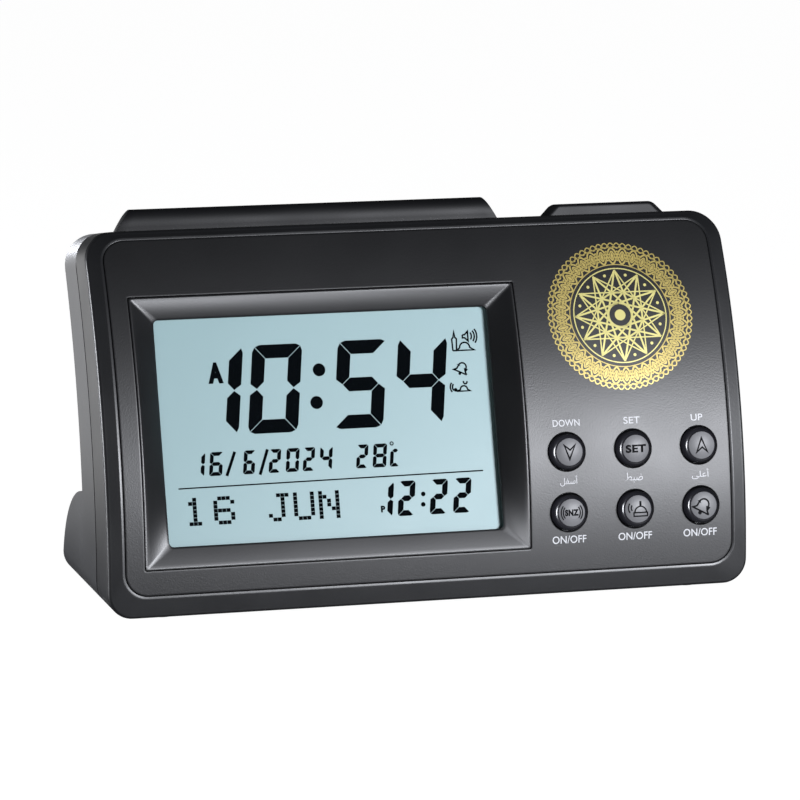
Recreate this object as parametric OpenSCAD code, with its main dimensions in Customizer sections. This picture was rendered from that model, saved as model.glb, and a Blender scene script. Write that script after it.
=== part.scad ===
// Desk alarm clock: a large display on the left of a curved, leaning face,
// six round keys on the right, a long snooze bar and a light key on top.
// +X is the viewer's right, +Y runs from the face to the back, +Z is up.
// The origin lies on the table under the middle of the clock.

/* [Case] */
// Overall width
case_w = 175; // [170:1:185]
// Height of the face's top edge above the base
case_h = 96; // [94:0.5:100]
// Radius of the face's curve, seen from the side
face_r = 175; // [160:5:200]
// How far the centre of that curve lies below the base
face_drop = 3; // [1:0.5:5]
// Depth from the face straight back to the back wall
case_d = 28; // [27.5:0.5:32]
// Depth from the face to the joint between the housing and the rear shell
joint_d = 13.5; // [13:0.5:15]
// Thickness of the shell walls
wall = 2; // [1.6:0.1:2.2]
// Downward slope of the top, towards the back
top_slope = 11; // [8:0.5:12]
// Radius of the lower corners, seen from the front
base_corner_r = 6.5; // [5:0.5:8]
// Radius of the upper corners of the front frame and housing
top_corner_r = 8; // [7:0.5:10]
// Radius of the upper corners of the rear shell
rear_corner_r = 9; // [8:0.5:11]
// Width of the shadow groove at each joint in the case
reveal = 0.5; // [0.3:0.1:0.8]
// Depth of that groove
reveal_depth = 0.7; // [0.4:0.1:1]

/* [Foot] */
// Radius of the round foot behind
foot_r = 25.7; // [25:0.1:27]
// Centre of the foot, back from the face
foot_y = 27; // [26:0.5:28]
// Centre of the foot, above the base
foot_z = 2; // [1:0.5:3]
// Radius of the rubber pads
pad_r = 4; // [3:0.5:4.5]
// Thickness of the rubber pads
pad_t = 1.1; // [1:0.1:1.5]
// How deep the pads are let into the base
pad_recess = 0.3; // [0.2:0.1:0.5]
// Distance of the pads from the middle
pad_x = 72; // [60:1:75]
// Front pads, back from the face
pad_front_y = 8; // [7.5:0.5:8.5]
// Rear pads, back from the face
pad_rear_y = 43; // [38:1:45]

/* [Front frame and panel] */
// Depth of the front frame's rim
frame_d = 2; // [1.8:0.1:2.4]
// Depth of the spigot that enters the housing
spigot_d = 1.6; // [1.2:0.1:1.8]
// Width of the frame beside the panel
frame_side = 4.45; // [4:0.05:6]
// Width of the frame below the panel, along the face
frame_low = 5.95; // [5:0.05:7]
// Width of the frame above the panel, along the face
frame_top = 2.6; // [2.5:0.1:3.5]
// Width of the ledge behind the panel's edge
ledge = 2; // [1.5:0.1:2.2]
// Thickness of the panel
panel_t = 2; // [1.8:0.1:2.2]
// Radius of the panel's corners
panel_corner_r = 6; // [4:0.5:8]
// Visible gap round the panel
panel_gap = 0.3; // [0.2:0.05:0.4]

/* [Screen] */
// Middle of the screen, from the middle of the clock
screen_x = -25.6; // [-27:0.1:-25]
// Width of the bezel on the face
bezel_w = 104.4; // [103:0.1:106]
// Lower edge of the bezel, along the face
bezel_s0 = 12.6; // [12:0.1:13]
// Upper edge of the bezel, along the face
bezel_s1 = 83.8; // [83:0.1:85]
// Width of the display window
window_w = 90.8; // [88:0.1:91]
// Height of the display window
window_h = 59.2; // [57:0.1:60]
// Radius of the window's corners
window_r = 1.2; // [0.5:0.1:2]
// Lean of the display
screen_tilt = 18.3; // [18:0.1:18.6]
// Middle of the window, back from the foot of the face
screen_y = 12.05; // [12:0.05:12.3]
// Middle of the window, above the base
screen_z = 46; // [45.5:0.1:46.2]
// Step from the bezel's facets down to the lens
window_step = 0.7; // [0.5:0.1:0.8]
// Thickness of the lens
lens_t = 1; // [0.8:0.1:1]
// Thickness of the display glass
lcd_t = 2.2; // [1.8:0.1:2.2]
// Thickness of the light guide
guide_t = 2.5; // [2:0.1:2.5]
// Margin of the lens round the window
lens_margin = 1.6; // [1.2:0.1:1.8]
// Margin of the display glass round the window, at the sides
lcd_side = 2.2; // [1.8:0.1:2.4]
// Margin of the display glass round the window, above and below
lcd_end = 2.9; // [2.6:0.1:2.9]

/* [Round keys] */
// Radius of the hole round each key
key_hole_r = 5; // [4.9:0.05:5.2]
// Radius of a key's shaft
key_r = 4.7; // [4.5:0.05:4.8]
// Radius of a key's flat top
key_top_r = 3.75; // [3.4:0.05:3.9]
// How far a key stands out of the panel
key_proud = 2.2; // [1.5:0.1:2.6]
// Radius of the flange that keeps a key in
key_flange_r = 6; // [5.6:0.1:6.2]
// Travel of a round key
key_travel = 0.6; // [0.4:0.1:0.7]
// Middle column of keys, from the middle of the clock
keys_x = 55.8; // [55:0.1:56.5]
// Distance between columns
key_pitch_x = 18.5; // [17.5:0.1:18.7]
// Distance between rows
key_pitch_z = 16; // [15:0.1:16.4]
// Middle between the rows, along the face
keys_s = 29.7; // [29:0.1:30.5]

/* [Top keys] */
// Length of the snooze bar at its foot
snooze_len = 104; // [100:0.5:104.5]
// Height of the snooze bar above the top
snooze_h = 5.7; // [4:0.1:6]
// How much shorter each end is at the crest
snooze_rake = 3.5; // [2:0.1:5]
// Depth of both top keys from front to back
bar_d = 5; // [4.5:0.1:5.2]
// Travel of the snooze bar
snooze_travel = 1.2; // [0.8:0.1:1.3]
// Middle of the light key, from the middle of the clock
light_x = 56.5; // [55:0.1:57]
// Length of the light key at its foot
light_len = 34.4; // [30:0.1:35]
// Height of the light key above the top
light_h = 3; // [2.4:0.1:3.4]
// How much shorter each end of the light key is at the top
light_rake = 3; // [2:0.1:4]
// Radius of the light key's corners, seen from above
light_corner_r = 2.3; // [1:0.1:2.4]
// Travel of the light key
light_travel = 0.8; // [0.6:0.1:1]
// Front of both top keys, along the slope from the front edge
bar_u = 3; // [2.9:0.1:3.2]
// Clearance round the top keys
bar_gap = 0.3; // [0.2:0.05:0.4]

/* [Speaker] */
// Middle of the speaker, from the middle of the clock
speaker_x = -40; // [-50:1:-30]
// Middle of the speaker, along the back wall
speaker_s = 52; // [50:0.5:54]
// Radius of the speaker
speaker_r = 20; // [18:0.5:20]
// Depth of the speaker
speaker_d = 8.6; // [8:0.1:9]
// Radius of the magnet
magnet_r = 9; // [7:0.5:11]
// Radius of each hole in the grille
grille_hole_r = 1.2; // [0.8:0.1:1.4]
// Rings of holes in the grille
grille_rings = 4; // [2:1:4]
// Distance between rings of holes
grille_pitch = 4; // [3.6:0.1:4.2]

/* [Battery bay] */
// Middle of the bay, from the middle of the clock
bay_x = 54.5; // [52:0.5:54.5]
// Middle of the bay, along the back wall
bay_s = 52.5; // [52:0.5:53]
// Diameter of a cell
cell_dia = 10.5; // [10:0.1:10.5]
// Length of a cell
cell_len = 44.5; // [44:0.1:44.5]
// Distance between cells
cell_pitch = 11.3; // [11:0.1:11.4]
// Room for the contacts at both ends together
contact_room = 5.6; // [5:0.1:6]
// Thickness of the bay's walls
bay_wall = 1.2; // [1:0.1:1.2]
// Thickness of the battery door
door_t = 1.7; // [1.5:0.1:1.8]
// Gap round the battery door
door_gap = 0.3; // [0.2:0.05:0.4]

/* [Boards and screws] */
// Thickness of the main board
board_t = 1.6; // [1.2:0.1:1.6]
// Thickness of the two key boards
key_board_t = 1.2; // [1:0.1:1.2]
// Height of a switch over its board, plunger included
switch_h = 4.3; // [4:0.1:4.3]
// Width of a switch
switch_w = 6; // [5:0.1:6]
// Radius of the case screws' shanks
case_screw_r = 1.25; // [1:0.05:1.3]
// Distance of the case screws from the middle
case_screw_x = 82; // [81.5:0.1:82.1]
// Height of the lower case screws
case_screw_low = 6.5; // [6.3:0.1:6.8]
// Height of the upper case screws
case_screw_high = 84; // [83:0.5:84.5]
// Radius of the small screws' shanks
board_screw_r = 0.85; // [0.7:0.05:0.9]

/* [Hidden] */
$fn = 64;
big_fn = 360;

// How far cutting shapes run past what they cut
over = 1;
// Play between a screw and its hole
screw_play = 0.05;
// Play between parts that are seated in each other
seat_play = 0.1;
// Reach of the prisms that cut the outline
reach = 2 * case_h;

// The face is part of a cylinder that runs along X
face_cy = sqrt(face_r * face_r - face_drop * face_drop);
face_a0 = asin(face_drop / face_r);
function face_a(s) = face_a0 + s / face_r * 180 / PI;
function face_y(s) = face_cy - face_r * cos(face_a(s));
function face_z(s) = face_r * sin(face_a(s)) - face_drop;
function arc_y(z) = face_cy - sqrt(face_r * face_r - (z + face_drop) * (z + face_drop));
function arc_s(z) = (asin((z + face_drop) / face_r) - face_a0) * PI / 180 * face_r;

// Front edge of the top, and the furthest point back, where the top meets the back wall
top_y = arc_y(case_h);
face_s1 = arc_s(case_h);
back_b = (top_y - face_cy - case_d) * cos(top_slope) - (case_h + face_drop) * sin(top_slope);
back_c = pow(top_y - face_cy - case_d, 2) + pow(case_h + face_drop, 2) - face_r * face_r;
back_u = -back_b - sqrt(back_b * back_b - back_c);
total_d = max(top_y + back_u * cos(top_slope), foot_y + foot_r);
pad_proud = pad_t - pad_recess;
key_edge = key_r - key_top_r;
front_y = face_y(keys_s) - key_edge - (key_proud - key_edge) * cos(face_a(keys_s))
    - (key_pitch_z / 2 + key_top_r) * sin(face_a(keys_s));

// Panel, as a flat rectangle square to the middle of its arc
panel_w = case_w - 2 * frame_side;
panel_s0 = frame_low;
panel_s1 = face_s1 - frame_top;
panel_s = (panel_s0 + panel_s1) / 2;
panel_h = 2 * face_r * sin((panel_s1 - panel_s0) / face_r * 90 / PI);

// Layers behind the window, measured square to the screen from the bezel's inner edge
lens_y = window_step;
lcd_y = lens_y + lens_t + 0.2;
bezel_back = 3;
guide_y = lcd_y + lcd_t + seat_play;
board_y = guide_y + guide_t + 0.7;
lcd_w = window_w + 2 * lcd_side;
lcd_h = window_h + 2 * lcd_end;
holder_wall = 1;
holder_w = lcd_w + 2 * (seat_play + holder_wall);
holder_h = lcd_h + 2 * (seat_play + holder_wall);
flange = 2.5;
board_post_r = 2;
board_post_x = holder_w / 2 + seat_play + board_post_r;
board_post_z = 31.5;
board_w = 2 * (board_post_x + board_post_r - 0.1);
board_h = 2 * (board_post_z + board_post_r + 0.8);

// Layers behind the round keys, measured square to their board from the face
key_flange_t = 0.9;
key_flange_y = panel_t + 0.7;
key_stem_r = 1.6;
key_stem_end = key_flange_y + key_flange_t + 0.6;
plunger_gap = 0.05;
key_board_y = key_stem_end + key_travel + plunger_gap + switch_h;
plunger_h = 0.9;
plunger_r = 1.7;
key_cols = [-1, 0, 1];
key_board_w = 2 * key_pitch_x + 15;
key_board_h = key_pitch_z + 14;
key_post_x = key_board_w / 2 - 3.2;
key_post_z = 0;
key_post_r = 2.2;

// Layers under the top keys, measured square to the top
bar_flange = 1;
bar_flange_t = 1;
bar_flange_n = -wall - seat_play;
snooze_post_n = bar_flange_n - bar_flange_t - 1.2;
top_switch_n = snooze_post_n - snooze_travel - plunger_gap;
top_board_n = top_switch_n - switch_h;
light_post_n = top_switch_n + plunger_gap + light_travel;
snooze_switch_x = [-34, 34];
bar_mid_u = bar_u + bar_d / 2;
bar_post_w = 4;
top_board_x0 = -68;
top_board_x1 = 68;
top_board_u0 = bar_mid_u - switch_w / 2 - 1;
top_board_u1 = top_board_u0 + 15;
top_post_x = [-62, 6, 62];
top_post_u = top_board_u1 - 3;
top_post_r = 2.4;

// Battery bay, measured outwards from the back wall
bay_w = cell_len + contact_room;
bay_h = 3 * cell_pitch + 0.6;
cell_y = -(wall + 0.4 + cell_dia / 2);
bay_floor_y = cell_y - cell_dia / 2 - 0.2;
door_w = bay_w + bay_wall;
door_h = bay_h + bay_wall;
hinge_s = bay_s - asin(door_h / 2 / face_r) * PI / 180 * face_r;
hinge_tab_w = 7;
hinge_tab_x = 17;
hinge_tab_len = 1.6;
hinge_front = wall + 0.35;
hinge_back = hinge_front + 1.1;

// Speaker, measured outwards from the back wall
speaker_play = 0.3;
speaker_ring_t = 1.2;
gasket_t = 0.8;
gasket_y = -(wall + 0.25);
speaker_y = gasket_y - gasket_t - 0.05;
speaker_rim_t = 1;
cone_r = speaker_r - 2.6;
speaker_ring_y = speaker_y - speaker_rim_t - 1.6;

// Case screws, measured back from the face
screw_seat_y = joint_d + 2.5;
screw_head_r = 2.5;
screw_head_h = 1.8;
screw_bite = 7.5;
well_r = 3.6;
boss_r = 3.2;

// ---------------------------------------------------------------- frames of reference

// Moves the design, whose face starts at y = 0 and whose base is z = 0, onto the origin
module placed() translate([0, -(front_y + total_d) / 2, pad_proud]) children();

// On the face at height s along it: +Y goes into the body, +Z up along the face
module on_face(x, s) translate([x, face_y(s), face_z(s)]) rotate([-face_a(s), 0, 0]) children();

// On the back wall: +Y goes out of the body
module on_back(x, s) translate([0, case_d, 0]) on_face(x, s) children();

// On the screen: +Y goes into the body from the plane of the bezel's inner edge
module on_screen() translate([screen_x, screen_y, screen_z]) rotate([-screen_tilt, 0, 0]) children();

// On the top: +Y runs back along the slope from the front edge, +Z stands square to it
module on_top(x = 0) translate([x, top_y, case_h]) rotate([-top_slope, 0, 0]) children();

// ---------------------------------------------------------------- building blocks

// Rounded rectangle about the origin
module round_rect(w, h, r) {
    square([w - 2 * r, h], center = true);
    square([w, h - 2 * r], center = true);
    for (x = [-1, 1], y = [-1, 1]) translate([x * (w / 2 - r), y * (h / 2 - r)]) circle(r = r);
}

// A flat shape drawn in X and Z, given thickness along Y from y0 to y1
module slab(y0, y1) translate([0, y1, 0]) rotate([90, 0, 0]) linear_extrude(y1 - y0) children();

// A cylinder along Y from y0 to y1
module rod(r, y0, y1) translate([0, y1, 0]) rotate([90, 0, 0]) cylinder(r = r, h = y1 - y0);

// Everything behind the face after it is moved back by d and drawn in by t
module behind(d, t = 0) translate([0, face_cy + d, -face_drop]) rotate([0, 90, 0])
    cylinder(r = face_r - t, h = case_w + 2 * reveal + 20, center = true, $fn = big_fn);

// The clock's outline as seen from the front, drawn in by t
module outline(t = 0, corner = top_corner_r) intersection() {
    translate([0, 0, t + reach / 2]) slab(-reach, reach)
        round_rect(case_w - 2 * t, reach, base_corner_r - t);
    on_top() translate([0, 0, -t - reach / 2]) slab(-reach, reach)
        round_rect(case_w - 2 * t, reach, corner - t);
}

// The part of the outline between two depths behind the face
module ring_band(d0, d1, t = 0) difference() {
    intersection() {
        outline(t);
        behind(d0);
    }
    behind(d1);
}

// The foot, a cylinder along X
module foot(t = 0) translate([0, foot_y, foot_z]) rotate([0, 90, 0])
    cylinder(r = foot_r - t, h = case_w + 20, center = true, $fn = 180);

// A small screw: head on the board at y, shank towards -Y
module small_screw(y, len) {
    rod(1.6, y, y + 1);
    rod(board_screw_r, y - len, y + over / 2);
}

// A switch standing on a board, its plunger towards +Z
module switch_body() {
    translate([-switch_w / 2, -switch_w / 2, 0]) cube([switch_w, switch_w, switch_h - plunger_h]);
    cylinder(r = plunger_r, h = switch_h);
}

// Places something at each round key, square to the key board
module each_key() on_face(keys_x, keys_s)
    for (x = key_cols, z = [-1, 1]) translate([x * key_pitch_x, 0, z * key_pitch_z / 2]) children();

// ---------------------------------------------------------------- case

module panel_hole(gap, r = panel_corner_r) on_face(0, panel_s)
    slab(-10, 20) round_rect(panel_w - 2 * gap, panel_h - 2 * gap, r);

// Frame round the face: a rim, a ledge behind the panel, a spigot and four screw bosses
module front_frame() color("#2b2c2f") placed() {
    difference() {
        union() {
            ring_band(0, frame_d - reveal);
            ring_band(frame_d - reveal - over / 2, frame_d, reveal_depth);
            ring_band(frame_d - over / 2, frame_d + spigot_d, wall + 0.2);
        }
        difference() {
            panel_hole(0);
            behind(0, panel_t + 0.02);
        }
        panel_hole(ledge, panel_corner_r - ledge);
    }
    for (x = [-1, 1], z = [case_screw_low, case_screw_high])
        translate([x * case_screw_x, 0, z]) difference() {
            intersection() {
                rod(boss_r, 0, reach);
                translate([-x * case_screw_x, 0, -z]) difference() {
                    behind(frame_d + spigot_d);
                    behind(joint_d);
                }
            }
            rod(case_screw_r + screw_play, arc_y(z) + joint_d - screw_bite - over, reach);
        }
}

// Ring between the front frame and the rear shell, with the two slots for the top keys
module mid_housing() color("#3a3c40") placed() difference() {
    ring_band(frame_d, joint_d);
    outline(wall);
    on_top(screen_x) translate([0, bar_mid_u, -wall - over]) linear_extrude(wall + 2 * over)
        square([snooze_len + 2 * bar_gap, bar_d + 2 * bar_gap], center = true);
    on_top(light_x) translate([0, bar_mid_u, -wall - over]) linear_extrude(wall + 2 * over)
        round_rect(light_len + 2 * bar_gap, bar_d + 2 * bar_gap, light_corner_r + bar_gap);
    for (x = [-1, 1]) translate([x * pad_x, pad_front_y, -over])
        cylinder(r = pad_r + 0.05, h = pad_recess + over);
}

// Solid shape of the rear shell, drawn in by t
module rear_solid(t = 0) intersection() {
    outline(t, rear_corner_r);
    union() {
        difference() {
            behind(joint_d + (t > 0 ? -over : 0));
            behind(case_d, -t);
        }
        intersection() {
            behind(joint_d + (t > 0 ? -over : 0));
            foot(t);
        }
    }
}

// Rows of holes in rings round the speaker's middle
module grille() {
    rod(grille_hole_r, -wall - 3, over);
    for (k = [1 : grille_rings], i = [0 : 6 * k - 1]) rotate([0, i * 60 / k, 0])
        translate([k * grille_pitch, 0, 0]) rod(grille_hole_r, -wall - 3, 2);
}

// Outer and inner box of the battery bay
module bay_box(w, h, y0) translate([-w / 2, y0, -h / 2]) cube([w, 30, h]);

module rear_shell() color("#34363a") placed() difference() {
    union() {
        difference() {
            rear_solid();
            rear_solid(wall);
            // shadow groove where this shell meets the housing
            difference() {
                behind(0);
                behind(joint_d + reveal);
                outline(reveal_depth, rear_corner_r);
            }
        }
        // screw wells, speaker ring, battery bay and board posts, inside the shell only
        intersection() {
            rear_solid();
            union() {
                for (x = [-1, 1], z = [case_screw_low, case_screw_high])
                    translate([x * case_screw_x, 0, z]) rod(well_r, 0, reach);
                on_back(speaker_x, speaker_s) difference() {
                    rod(speaker_r + speaker_play + speaker_ring_t, speaker_ring_y, 3);
                    rod(speaker_r + speaker_play, speaker_ring_y - over, gasket_y);
                    rod(cone_r, gasket_y - over, 3 + over);
                }
                on_back(bay_x, bay_s)
                    bay_box(bay_w + 2 * bay_wall, bay_h + 2 * bay_wall, bay_floor_y - bay_wall);
                on_top() for (x = top_post_x) translate([x, top_post_u, top_board_n])
                    cylinder(r = top_post_r, h = -top_board_n);
            }
        }
    }
    // wells open from the back, with a seat for each screw head
    for (x = [-1, 1], z = [case_screw_low, case_screw_high])
        translate([x * case_screw_x, arc_y(z), z]) {
            rod(screw_head_r + 0.3, screw_seat_y, reach);
            rod(case_screw_r + 0.25, 0, reach);
        }
    // battery bay: the room for the cells, and the opening that the door fills
    on_back(bay_x, bay_s) bay_box(bay_w, bay_h, bay_floor_y);
    intersection() {
        on_back(bay_x, bay_s) bay_box(door_w + 2 * door_gap, door_h + 2 * door_gap, -wall - 3);
        behind(case_d, -wall);
    }
    // slots behind the lower edge of the opening for the door's two tabs
    on_back(bay_x, hinge_s) for (x = [-1, 1])
        translate([x * hinge_tab_x - hinge_tab_w / 2 - 0.4, -hinge_back - 1.8, -hinge_tab_len - 0.9])
            cube([hinge_tab_w + 0.8, hinge_back + 1.8 - wall + 0.1, hinge_tab_len + 3.6]);
    on_back(speaker_x, speaker_s) grille();
    on_top() for (x = top_post_x) translate([x, top_post_u, top_board_n - over])
        cylinder(r = board_screw_r + screw_play, h = 6 + over);
    for (x = [-1, 1]) translate([x * pad_x, pad_rear_y, -over])
        cylinder(r = pad_r + 0.05, h = pad_recess + over);
}

// ---------------------------------------------------------------- panel and screen

// Window in the panel for the bezel, square to the middle of its arc
bezel_s = (bezel_s0 + bezel_s1) / 2;
bezel_h = 2 * face_r * sin((bezel_s1 - bezel_s0) / face_r * 90 / PI);

module bezel_prism(grow) on_face(screen_x, bezel_s)
    slab(-10, 20) square([bezel_w + 2 * grow, bezel_h + 2 * grow], center = true);

module front_panel() color("#303134") placed() difference() {
    union() {
        intersection() {
            panel_hole(panel_gap, panel_corner_r - panel_gap);
            difference() {
                behind(0);
                behind(0, panel_t);
            }
        }
        on_face(keys_x, keys_s) for (x = [-1, 1])
            translate([x * key_post_x, 0, key_post_z]) rod(key_post_r, panel_t / 2, key_board_y);
    }
    bezel_prism(0);
    each_key() {
        rod(key_hole_r, -over, panel_t + over);
        translate([0, 0.7, 0]) rotate([90, 0, 0]) cylinder(r1 = key_hole_r - 0.2, r2 = key_hole_r + 1, h = 1.2);
    }
    on_face(keys_x, keys_s) for (x = [-1, 1])
        translate([x * key_post_x, 0, key_post_z])
            rod(board_screw_r + screw_play, panel_t + 0.5, key_board_y + over);
}

// Room in front of the screen: four facets from the face's curve down to the flat window.
// The slices follow the curve, and each runs past the face by the factor out.
facet_rim = 0.3;
facet_steps = 12;
facet_out = 1.4;
facet_lip = 0.2;
function facet_inner(x, i) = let (v = (window_h + 2 * facet_lip) * (i / facet_steps - 0.5))
    [screen_x + x * (window_w / 2 + facet_lip), screen_y + v * sin(screen_tilt),
        screen_z + v * cos(screen_tilt)];
function facet_outer(x, i) = let (
    s = bezel_s0 + facet_rim + (bezel_s1 - bezel_s0 - 2 * facet_rim) * i / facet_steps,
    a = facet_inner(x, i),
    b = [screen_x + x * (bezel_w / 2 - facet_rim), face_y(s), face_z(s)])
    a + facet_out * (b - a);

module facets() polyhedron(
    points = [for (i = [0 : facet_steps]) each
        [facet_inner(-1, i), facet_outer(-1, i), facet_inner(1, i), facet_outer(1, i)]],
    faces = concat(
        [for (i = [0 : facet_steps - 1], q = [[4, 5, 1, 0], [7, 6, 2, 3], [6, 4, 0, 2], [5, 7, 3, 1]])
            each [[4 * i + q[0], 4 * i + q[1], 4 * i + q[2]], [4 * i + q[0], 4 * i + q[2], 4 * i + q[3]]]],
        [[0, 3, 2], [0, 1, 3]],
        [for (t = [[0, 3, 1], [0, 2, 3]]) [for (k = t) 4 * facet_steps + k]]));

module screen_rect(w, h, y0, y1) on_screen() slab(y0, y1) square([w, h], center = true);

module screen_posts() on_screen() for (x = [-1, 1], z = [-1, 1])
    translate([x * board_post_x, 0, z * board_post_z]) children();

module screen_bezel() color("#1d1e20") placed() difference() {
    union() {
        intersection() {
            bezel_prism(-seat_play / 2);
            behind(0);
            screen_rect(2 * case_w, 2 * case_h, -reach / 4, bezel_back);
        }
        intersection() {
            on_face(screen_x, bezel_s) slab(-10, 20)
                round_rect(bezel_w + 2 * flange, bezel_h + 2 * flange, flange);
            behind(0, panel_t + seat_play);
            screen_rect(2 * case_w, 2 * case_h, -reach / 4, bezel_back);
        }
        screen_posts() rod(board_post_r, bezel_back - over, board_y);
    }
    facets();
    on_screen() slab(-over, lens_y + over) round_rect(window_w, window_h, window_r);
    screen_rect(window_w + 2 * lens_margin + 2 * seat_play, window_h + 2 * lens_margin + 2 * seat_play,
        lens_y, bezel_back + over);
    screen_rect(lcd_w + 2 * seat_play, lcd_h + 2 * seat_play, lcd_y - seat_play, bezel_back + over);
    screen_posts() rod(board_screw_r + screw_play, bezel_back + 0.4, board_y + over);
}

module lens_window() color("#dfeaec", 0.4) placed()
    screen_rect(window_w + 2 * lens_margin, window_h + 2 * lens_margin, lens_y, lens_y + lens_t);

// Two panes of glass; the rear one is shorter, which leaves a ledge for the contacts
lcd_ledge = 2.4;
module lcd_glass() color("#a9c9cf") placed() {
    screen_rect(lcd_w, lcd_h, lcd_y, lcd_y + lcd_t / 2);
    on_screen() translate([0, 0, lcd_ledge / 2]) slab(lcd_y + lcd_t / 2, lcd_y + lcd_t)
        square([lcd_w, lcd_h - lcd_ledge], center = true);
}

// Frame that holds the glass and the light guide against the bezel
module lcd_holder() color("#e6e6e2") placed() difference() {
    screen_rect(holder_w, holder_h, bezel_back, board_y);
    screen_rect(lcd_w + 2 * seat_play, lcd_h + 2 * seat_play, bezel_back - over, board_y - 0.6);
    on_screen() translate([0, 0, -lcd_h / 2]) slab(bezel_back - over, board_y + over)
        square([lcd_w - 4, 2 * lcd_h - 6], center = true);
}

led_room = 2;
module light_guide() color("#f4f6f4") placed() on_screen()
    translate([-led_room / 2, 0, lcd_ledge / 2 + seat_play]) slab(guide_y, guide_y + guide_t)
        square([lcd_w - led_room, lcd_h - lcd_ledge - 2 * seat_play], center = true);

module backlight_leds() color("#ffffff") placed() on_screen() for (z = [-1 : 1])
    translate([lcd_w / 2 - led_room / 2 + seat_play / 2, 0, z * lcd_h / 3])
        slab(guide_y, guide_y + 1.8) square([led_room - 2 * seat_play, 3.4], center = true);

module contact_strip() color("#e8a7b4") placed() on_screen()
    translate([0, 0, -lcd_h / 2 + lcd_ledge / 2]) slab(lcd_y + lcd_t / 2, board_y)
        square([lcd_w - 12, lcd_ledge - 0.6], center = true);

// ---------------------------------------------------------------- boards

module main_board() color("#2f6b45") placed() difference() {
    screen_rect(board_w, board_h, board_y, board_y + board_t);
    screen_posts() rod(board_screw_r + 0.2, board_y - over, board_y + board_t + over);
}

board_back = board_y + board_t;
module on_board_back(x, z) on_screen() translate([x, board_back, z]) children();

// The controller under its drop of resin, the sound memory and the amplifier
module board_chips() color("#18191a") placed() {
    on_board_back(22, 10) {
        rod(6.5, 0, 0.8);
        rod(5, 0.8, 1.4);
    }
    on_board_back(18, -14) slab(0, 1.6) square([5, 5], center = true);
    on_board_back(30, -14) slab(0, 1.6) square([4, 5], center = true);
}

module quartz_crystal() color("#c9cbcc") placed() on_board_back(38, 12) slab(0, 3.5) {
    square([7, 4], center = true);
    for (x = [-1, 1]) translate([x * 3.5, 0]) circle(r = 2);
}

module audio_capacitor() color("#20303f") placed() on_board_back(36, -24)
    translate([0, 3.2, 0]) rotate([0, 90, 0]) cylinder(r = 3.2, h = 8, center = true);

module temperature_sensor() color("#3c3022") placed() on_board_back(-44, -26) {
    rod(0.9, 0, 4);
    translate([0, 4, 0]) sphere(r = 1.4);
}

module key_board() color("#2f6b45") placed() on_face(keys_x, keys_s) difference() {
    slab(key_board_y, key_board_y + key_board_t) square([key_board_w, key_board_h], center = true);
    for (x = [-1, 1]) translate([x * key_post_x, 0, key_post_z])
        rod(board_screw_r + 0.2, key_board_y - over, key_board_y + key_board_t + over);
}

module key_switches() color("#b9bcbe") placed() each_key()
    translate([0, key_board_y, 0]) rotate([90, 0, 0]) switch_body();

module top_board() color("#2f6b45") placed() on_top() difference() {
    translate([top_board_x0, top_board_u0, top_board_n - key_board_t])
        cube([top_board_x1 - top_board_x0, top_board_u1 - top_board_u0, key_board_t]);
    for (x = top_post_x) translate([x, top_post_u, top_board_n - key_board_t - over])
        cylinder(r = board_screw_r + 0.2, h = key_board_t + 2 * over);
}

top_switch_x = concat([for (x = snooze_switch_x) screen_x + x], [light_x]);
module top_switches() color("#b9bcbe") placed() for (x = top_switch_x)
    on_top(x) translate([0, bar_mid_u, top_board_n]) switch_body();

// ---------------------------------------------------------------- keys

module round_key(col, row) color("#55575b") placed() on_face(keys_x, keys_s)
    translate([col * key_pitch_x, 0, row * key_pitch_z / 2]) {
        rotate([90, 0, 0]) rotate_extrude() polygon(concat(
            [[0, -key_flange_y - key_flange_t], [key_r, -key_flange_y - key_flange_t]],
            [for (a = [0 : 15 : 90]) [key_top_r + key_edge * cos(a), key_proud - key_edge + key_edge * sin(a)]],
            [[0, key_proud]]));
        rod(key_flange_r, key_flange_y, key_flange_y + key_flange_t);
        rod(key_stem_r, key_flange_y, key_stem_end);
    }

module down_key() round_key(-1, 1);
module set_key() round_key(0, 1);
module up_key() round_key(1, 1);
module snooze_key() round_key(-1, -1);
module azan_key() round_key(0, -1);
module alarm_key() round_key(1, -1);

// Lower part of a top key: shank through the slot, flange under the wall, posts on the switches
module bar_shank(len, posts, post_n, corner) {
    translate([0, 0, bar_flange_n - bar_flange_t]) linear_extrude(bar_flange_t - bar_flange_n)
        round_rect(len, bar_d, corner);
    translate([-len / 2 - bar_flange, -bar_d / 2, bar_flange_n - bar_flange_t])
        cube([len + 2 * bar_flange, bar_d + bar_flange, bar_flange_t]);
    for (x = posts) translate([x - bar_post_w / 2, -bar_post_w / 2, post_n])
        cube([bar_post_w, bar_post_w, bar_flange_n - post_n]);
}

// Keeps what lies between two raked ends
module raked(len, rake, h) intersection() {
    slab(-bar_d, bar_d) polygon([[-len / 2, -wall - over], [len / 2, -wall - over], [len / 2, 0],
        [len / 2 - rake, h], [rake - len / 2, h], [-len / 2, 0]]);
    children();
}

// Domed bar: the section is a superellipse of the given height
dome_power = 0.75;
dome_steps = 24;
module snooze_bar() color("#2c2d30") placed() on_top(screen_x) translate([0, bar_mid_u, 0]) {
    raked(snooze_len, snooze_rake, snooze_h) rotate([90, 0, 90])
        linear_extrude(snooze_len, center = true) polygon(concat(
            [[bar_d / 2, -0.5], [-bar_d / 2, -0.5]],
            [for (i = [0 : dome_steps]) let (a = 180 * i / dome_steps, c = cos(a))
                [-sign(c) * pow(abs(c), dome_power) * bar_d / 2, snooze_h * pow(sin(a), dome_power)]]));
    bar_shank(snooze_len, snooze_switch_x, snooze_post_n, 0.2);
}

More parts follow.
